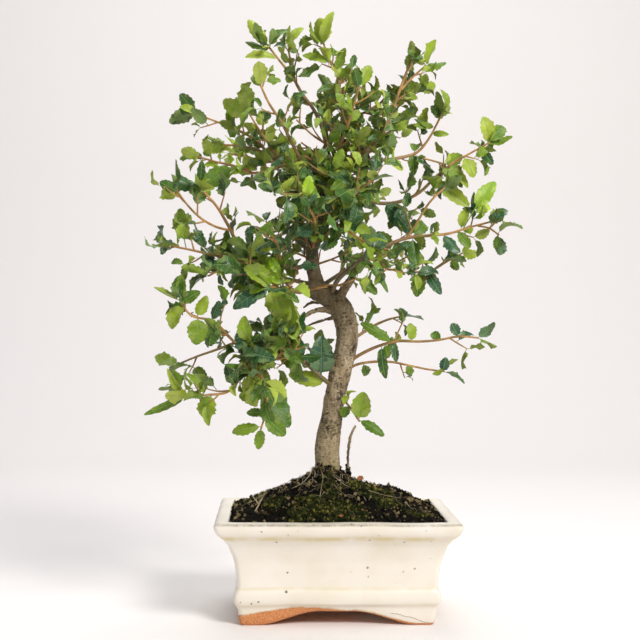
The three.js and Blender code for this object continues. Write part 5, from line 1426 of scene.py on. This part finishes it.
def swept_piece(name, stems, steps, sides, material, knobs=0.12):
    """Stems as chains of points with a thickness and an age, turned into wood by the tree."""
    points, edges, thick, age = [], [], [], []
    for number, entry in enumerate(stems):
        fine = fine_line(entry["line"], steps)
        edges += [(len(points) + i, len(points) + i + 1) for i in range(len(fine) - 1)]
        for index, place in enumerate(fine):
            radius = radius_at(entry["radii"], index / (len(fine) - 1))
            knob = 1 + knobs * noise.noise(Vector((index * 1.9, number * 2.3, 0.4)))
            points.append(in_scene(place))
            thick.append(radius * knob * MM)
            age.append(radius)
    chain = new_object(name + "_lines", points, [], edges=edges)
    store(chain, "thick", thick)
    store(chain, "wood_age", age)
    return run_tree(chain, sweep, name, Sides=sides, Material=material)


young_bark, shader, add, where = new_material("young oak twig bark", Roughness=0.6)
tan = add("ramp", add("noise", where, per(9), 4, 0.6), stops={0.3: "7d5c32", 0.5: "ac8047", 0.7: "cfa464"})
old = add("within", add("kept", attribute_name="wood_age").outputs["Fac"], 0.9, 1.8)
greenish = add("MULTIPLY", add("within", add("noise", where, per(31), 2), 0.5, 0.62), 0.55)
marks = add("MULTIPLY", add("within", add("noise", where, per(1.3)), 0.58, 0.7), 0.5)
feed(shader, {
    "Base Color": layered(add, tan, (old, "7c6a50"), (greenish, "6e6a35"), (marks, "54391f")),
    "Normal": add("bump", Height=add("noise", where, per(0.9)), Distance=0.3 * MM, Strength=0.7),
})
for twigs in (
    swept_piece("oak_branches", crown_stems + short_shoots, 5, 7, young_bark),
    swept_piece("oak_side_twigs", side_twigs, 3, 5, young_bark),
):
    twigs.data.polygons.foreach_set("use_smooth", [True] * len(twigs.data.polygons))
    finish_piece(twigs, "leafy_branch", *BRANCH_NODES)

# %% [markdown]
# ## The shape of one leaf
#
# Three templates carry only numbers: how far along the blade a point lies, how far across, whether it is on
# the stalk and whether it lies on the upper or the lower skin. The edge runs in and out with five shallow
# teeth on each side. A geometry tree later puts these points where each leaf's own numbers say.

# %% Leaf templates
BLADE_AT = [0, 0.04, 0.12, 0.22, 0.33, 0.43, 0.53, 0.63, 0.73, 0.82, 0.9, 0.965]
LEAF_HALF_THICK = 0.2


def leaf_template(name, seed, fullness, tooth):
    draw = seeded(seed)
    rows_along = [(0.0, 0.0, 0.07), (0.0, 0.7, 0.07)]
    for along in BLADE_AT:
        envelope = math.sin(math.pi * along ** fullness) ** 0.54 if along else 0.08
        rows_along.append((along, 1.0, max(0.09, envelope)))
    numbers, faces, under, outline = [], [], [], []
    for row, (along, stalked, share) in enumerate(rows_along):
        cut = tooth * (0.4 + draw()) * (1 if row % 2 else -1) if along > 0.1 else 0
        left = share * (1 + cut + 0.06 * (draw() - 0.5))
        right = share * (1 - cut * 0.9 + 0.06 * (draw() - 0.5))
        thick = 1.0 if stalked < 1 or along == 0 else 0.8
        places = [(-left, 0), (-left * 0.5, 0.9 * thick), (0, thick), (right * 0.5, 0.9 * thick), (right, 0),
                  (0, -thick)]
        numbers += [(along, stalked, across, lift) for across, lift in places]
        outline += [row * 6, row * 6 + 4]
    for a in range(0, 6 * len(rows_along) - 6, 6):
        b = a + 6
        faces += [(a + i, a + i + 1, b + i + 1, b + i) for i in range(4)]
        faces += [(a + 4, a + 5, b + 5, b + 4), (a + 5, a, b, b + 5)]
    a, tip = 6 * len(rows_along) - 6, 6 * len(rows_along)
    faces += [(a + i, a + i + 1, tip) for i in range(4)] + [(a + 4, a + 5, tip), (a + 5, a, tip)]
    faces.append((0, 5, 4, 3, 2, 1))
    under = [0, 0, 0, 0, 1, 1] * len(rows_along) + [1]
    numbers.append((1.0, 1.0, 0.0, 0.0))
    points = [
        (stalked * 0.1 + along * 0.9, across * 0.25, lift * 0.01) for along, stalked, across, lift in numbers
    ]
    made = new_object(name, points, faces)
    for title, values in zip(("leaf_along", "leaf_stalked", "leaf_share", "leaf_raise"), zip(*numbers)):
        store(made, title, values)
    store(made, "leaf_under", under, domain="FACE")
    edge_points = {*outline, tip}
    for seam in made.data.edges:
        first, second = seam.vertices
        seam.use_edge_sharp = first in edge_points and second in edge_points and abs(first - second) != 4
    return made


leaf_shapes = set_of_shapes("leaf shapes", [
    leaf_template("leaf a", 3, 0.84, 0.085), leaf_template("leaf b", 8, 0.74, 0.07),
    leaf_template("leaf c", 13, 0.96, 0.1),
])

# %% A tree that puts leaves in place
foliage, add, source, sink = geometry_tree("place leaves", Shapes="Collection", Material="Material")
shapes = add("GeometryNodeCollectionInfo", Collection=source["Shapes"], Separate_Children=True,
             Reset_Children=True)
placed = add(
    "GeometryNodeInstanceOnPoints", Points=add("GeometryNodeMeshToPoints", Mesh=source["Geometry"]),
    Instance=shapes, Pick_Instance=True, Instance_Index=add("number", "shape", data_type="INT"),
)
real = add("GeometryNodeRealizeInstances", Geometry=placed)
along, stalked, share, lift_up, stalk, half, length, arch, lift, wave = [
    add("number", name) for name in ("leaf_along", "leaf_stalked", "leaf_share", "leaf_raise", "stalk",
                                     "half", "length", "arch", "lift", "wave")
]
whole = add("MULTIPLY_ADD", stalk, stalked, add("MULTIPLY", add("SUBTRACT", 1.0, stalk), along))
across = add("MULTIPLY", share, half)
reach_out = add("ABSOLUTE", share)
cupped, wavy = [add("MULTIPLY", half, add("POWER", reach_out, power)) for power in (1.4, 2.0)]
phase = add("MULTIPLY_ADD", add("SIGN", across), 1.3, add("MULTIPLY", along, 9.0))
ripple = add("MULTIPLY", add("MULTIPLY", wave, add("SINE", phase)), wavy)
crest = add("MULTIPLY", whole, add("SUBTRACT", 1.0, whole))
height = add("MULTIPLY", add("MULTIPLY", arch, length), crest)
height = add("MULTIPLY_ADD", lift, cupped, add("ADD", height, ripple))
height = add("MULTIPLY_ADD", lift_up, LEAF_HALF_THICK * MM, height)
place = add("number", "root", data_type="FLOAT_VECTOR")
for direction, amount in (("axis", add("MULTIPLY", length, whole)), ("side", across), ("normal", height)):
    heading = add("number", direction, data_type="FLOAT_VECTOR")
    place = add("vector", place, add("vector", heading, Scale=amount, operation="SCALE"), operation="ADD")
moved = add("GeometryNodeSetPosition", Geometry=real, Position=place)
end_tree(add, sink, moved, source["Material"])
print("leaf tree nodes", len(foliage.nodes))

# %% [markdown]
# ## Leaf colours
#
# Old leaves of this oak are dark bluish green and a little glossy on top, greyer and matt below. The newest
# leaves at the ends of the shoots are lime. A pale rib and five or six pairs of veins run through each blade.

# %% Oak leaf material
leaf_skin, shader, add, where = new_material(
    "waxy oak leaf", Subsurface_Scale=0.8 * MM, Specular_IOR_Level=0.28, Coat_Roughness=0.3,
    Subsurface_Weight=0.04,
)
along, share, under, tone, age, half = [
    add("kept", attribute_name=name).outputs["Fac"]
    for name in ("leaf_along", "leaf_share", "leaf_under", "tone", "age", "half")
]
cloud = add("noise", where, per(5))
# The tone holds painted light: it is lighter for leaves high in the crown and for the lowest ones.
mixed = add("MULTIPLY_ADD", cloud, 0.35, add("MULTIPLY", tone, 0.75))
mature = add("ramp", mixed,
             stops={0.16: "2b5a40", 0.32: "345b22", 0.5: "5d7f1c", 0.7: "88a026", 0.92: "afbf44"})
young = add("ramp", mixed, stops={0.2: "85ab16", 0.55: "a5c728", 0.85: "bfd94a"})
below = add("ramp", mixed, stops={0.2: "5c7a52", 0.55: "7f923f", 0.85: "a3b04e"})
youth = add("SUBTRACT", 1, add("within", age, 0.15, 0.6))
skin = add("blend", under, add("blend", youth, mature, young), add("blend", youth, below, "b2cc52"))
from_rib = add("MULTIPLY", add("ABSOLUTE", share), half)
rib = add("SUBTRACT", 1, add("within", from_rib, 0.08 * MM, 0.34 * MM))
vein_run = add("MULTIPLY_ADD", add("ABSOLUTE", share), -0.9, add("MULTIPLY", along, 6.5))
vein_gap = add("ABSOLUTE", add("SUBTRACT", add("FRACT", vein_run), 0.5))
vein = add("SUBTRACT", 1, add("within", vein_gap, 0.03, 0.11))
vein = add("MAXIMUM", rib, add("MULTIPLY", vein, 0.3))
spots_seen = add("within", add("noise", where, per(2.2), 3, 0.7), 0.68, 0.74)
glossy = add("SUBTRACT", 1, add("within", mixed, 0.2, 0.42))
blister = add("MULTIPLY_ADD", add("noise", where, per(2.6), 2), 0.9, add("MULTIPLY", vein, -1.0))
feed(shader, {
    "Base Color": layered(add, skin, (add("MULTIPLY", vein, 0.6), "a3b878"),
                          (add("MULTIPLY", spots_seen, 0.35), "7a6a3a")),
    "Roughness": add("MULTIPLY_ADD", under, 0.3, add("MULTIPLY_ADD", cloud, 0.16, 0.34)),
    "Coat Weight": add("MULTIPLY", glossy, 0.45),
    "Normal": add("bump", Height=blister, Distance=0.4 * MM, Strength=0.9),
})
print("nodes of the leaf material", len(leaf_skin.node_tree.nodes))

# %% Put the leaves on the tree
# Young growth, as seen from in front: across, up, reach.
YOUNG_AT = [(-97, 385, 12), (-24, 312, 9), (-88, 334, 22), (-50, 248, 16), (-52, 412, 12), (0, 443, 11),
            (122, 369, 11), (134, 364, 10), (112, 300, 10), (-20, 236, 12), (70, 210, 9), (20, 205, 9),
            (-120, 180, 9), (60, 400, 8)]


def leaf_numbers(leaf, draw):
    """What the tree and the material read about one leaf."""
    reach = leaf["tip"] - leaf["root"]
    axis = reach.normalized()
    normal = (leaf["face"] - axis * leaf["face"].dot(axis)).normalized()
    seen = seen_from_front(leaf["root"].lerp(leaf["tip"], 0.6))
    fresh = max(1 - math.hypot(seen.x - a, seen.y - u) / r for a, u, r in YOUNG_AT)
    age = min(1, max(0, 0.75 - 1.1 * max(0, fresh) + 0.25 * (draw() - 0.5)))
    # Painted light: leaves high in the crown get a lighter tone, as if lit from above. The lowest leaves,
    # below 150 to 185 mm up, are made lighter as well.
    tone = draw() ** 1.35 * 0.8 + 0.2 * ease(seen.y, 250, 400) + 0.3 * ease(seen.y, 185, 150)
    arch, lift, wave = leaf["form"]
    return {"root": in_scene(leaf["root"]), "axis": axis, "side": axis.cross(normal), "normal": normal,
            "length": reach.length * MM, "half": leaf["width"] / 2 * MM, "stalk": leaf["stalk"], "arch": arch,
            "lift": lift, "wave": wave, "age": age, "tone": tone, "shape": int(draw() * 3)}


def leaf_points(name, leaves, seed):
    """A mesh of one point a leaf, with that leaf's numbers."""
    draw = seeded(seed)
    numbers = [leaf_numbers(leaf, draw) for leaf in leaves]
    made = new_object(name, [entry["root"] for entry in numbers], [])
    for key, value in numbers[0].items():
        kind = {Vector: "FLOAT_VECTOR", int: "INT"}.get(type(value), "FLOAT")
        store(made, key, [entry[key] for entry in numbers], kind)
    return made


def side_of(name):
    return next((side for side in ("left", "right") if side in name), "middle")


for side in ("left", "right", "middle"):
    names = [name for name in BRANCH_NODES if side_of(name) == side]
    leaves = [leaf for leaf in crown_leaves + extra_leaves if leaf["branch"] in names]
    spread_out = leaf_points(f"leaf_points_{side}", leaves, 700 + len(side))
    blades = run_tree(spread_out, foliage, f"oak_leaves_{side}", Shapes=leaf_shapes, Material=leaf_skin)
    finish_piece(blades, "leafy_branch", *names)
    print("leaves", side, len(leaves))

# %% [markdown]
# ## Small things on the soil
#
# Fine pale roots show at the surface near the trunk, with a forked dead twig on the left, a thin root that
# hangs over the heap in front, a few bits of orange bark and one dead leaf.

# %% Roots, a dead twig and bits of bark
def soil_level(x, y):
    half = Vector((POT_LENGTH / 2 - RIM_WIDTH, POT_WIDTH / 2 - RIM_WIDTH, 0))
    side = math.copysign(1, x - HEAP_MIDDLE[0])
    to_edge = max(abs(x - HEAP_MIDDLE[0]) / (half.x - side * HEAP_MIDDLE[0]), abs(y) / half.y)
    return soil_height(x, y, min(1, to_edge))


FIBRES = 150
EDGE_X, EDGE_Y = 76, 52
draw = seeded(515)
fibres = []
for number in range(FIBRES):
    angle = 2 * math.pi * draw()
    reach = 10 + 54 * draw() ** 1.3
    x, y = HEAP_MIDDLE[0] + reach * math.cos(angle), 0.8 * reach * math.sin(angle)
    heading = 2 * math.pi * draw()
    length = 5 + 13 * draw()
    line = []
    for step in range(5):
        line.append(Vector((x, y, soil_level(x, y) + 0.8 + 2.6 * draw() * (step % 2))))
        heading += (draw() - 0.5) * 1.3
        x = max(-EDGE_X, min(EDGE_X, x + length / 4 * math.cos(heading)))
        y = max(-EDGE_Y, min(EDGE_Y, y + length / 4 * math.sin(heading)))
    fibres.append({"line": line, "radii": (0.17, 0.08)})
DEAD_TWIGS = [
    ("-62 -36 79, -58 -30 86, -55 -23 91, -52 -16 95", (0.75, 0.4)),
    ("-58 -30 86, -61 -26 89, -63 -21 91", (0.45, 0.25)),
    ("-11 -9 108, -10 -14 104, -11 -20 100, -12 -27 96, -13 -34 91", (0.4, 0.18)),
    ("-18 -6 108, -22 -12 103, -27 -16 99, -34 -18 96", (0.32, 0.14)),
    ("-4 -10 107, 2 -15 102, 8 -18 98, 15 -19 96", (0.3, 0.13)),
    ("24 -20 95, 36 -24 92, 48 -24 90", (0.25, 0.12)),
]
dead = [{"line": [Vector(place) for place in rows(places)], "radii": radii} for places, radii in DEAD_TWIGS]
pale_root, shader, add, where = new_material("pale dry rootlet", Roughness=0.8, Specular_IOR_Level=0.2)
root_cloud = add("noise", where, per(14))
feed(shader, {"Base Color": add("ramp", root_cloud, stops={0.34: "5d4c36", 0.5: "9a8a6e", 0.66: "cbbf9f"})})
for piece in (
    swept_piece("soil_rootlets", fibres, 2, 3, pale_root),
    swept_piece("dead_twigs", dead, 4, 6, pale_root),
):
    finish_piece(piece, "soil", "soil")

# %% Bits of bark and one dead leaf
# Across, behind, size in millimetres.
BITS = [(2, -50, 3.4), (18, -44, 2.8), (-30, -40, 2.2), (44, -33, 2.0), (-47, -22, 2.4), (30, -8, 2.0),
        (60, -40, 1.8)]
DEAD_LEAF = (19, -2, 5.2)
FLAKE_OUTLINE = [(-0.5, -0.2), (0, -0.42), (0.5, -0.1), (0.42, 0.32), (-0.1, 0.4), (-0.48, 0.2)]
orange_bark, shader, add, where = new_material("dry orange bark", Roughness=0.75)
mottling = add("noise", where, per(2.5))
feed(shader, {"Base Color": add("ramp", mottling, stops={0.35: "6e3f1c", 0.65: "b5733a"})})
bit_points, bit_faces = [], []


def add_flake(x, y, size, above, lift, turn):
    """A thin bent flake on the soil, as a closed body."""
    start, count = len(bit_points), len(FLAKE_OUTLINE)
    middle = Vector((x, y, soil_level(x, y) + above))
    spin = Matrix.Rotation(turn, 3, "Z") @ Matrix.Rotation(lift, 3, "X")
    for side in (1, -1):
        for a, b in FLAKE_OUTLINE:
            bit_points.append(in_scene(middle + spin @ Vector((a, b, 0.35 * a * a + side * 0.05)) * size))
    upper, lower = [list(range(first, first + count)) for first in (start, start + count)]
    bit_faces.extend([upper, lower[::-1]])
    for i in range(count):
        j = (i + 1) % count
        bit_faces.append((upper[i], lower[i], lower[j], upper[j]))


for number, bit in enumerate(BITS):
    add_flake(*bit, 1.6, 0.5, number * 1.3)
add_flake(*DEAD_LEAF, 3.4, 1.2, 0.4)
bits = new_object("bark_bits", bit_points, bit_faces, orange_bark, smooth=False)
finish_piece(bits, "soil", "soil")

# %% [markdown]
# ## The meshes over the drain holes
#
# Two squares of black plastic mesh lie under the soil. Their solids have the right shape already, so they
# only get a material.

# %% Plastic mesh
plastic, shader, add, where = new_material("black plastic mesh")
haze = add("noise", where, per(3))
feed(shader, {"Base Color": add("ramp", haze, stops={0.3: "141414", 0.7: "242423"}),
              "Roughness": add("MULTIPLY_ADD", haze, 0.2, 0.45)})
for name in ("drain_mesh_left", "drain_mesh_right"):
    solid = bpy.data.objects[name]
    for slot in solid.material_slots:
        slot.material = plastic
print("drain meshes dressed")
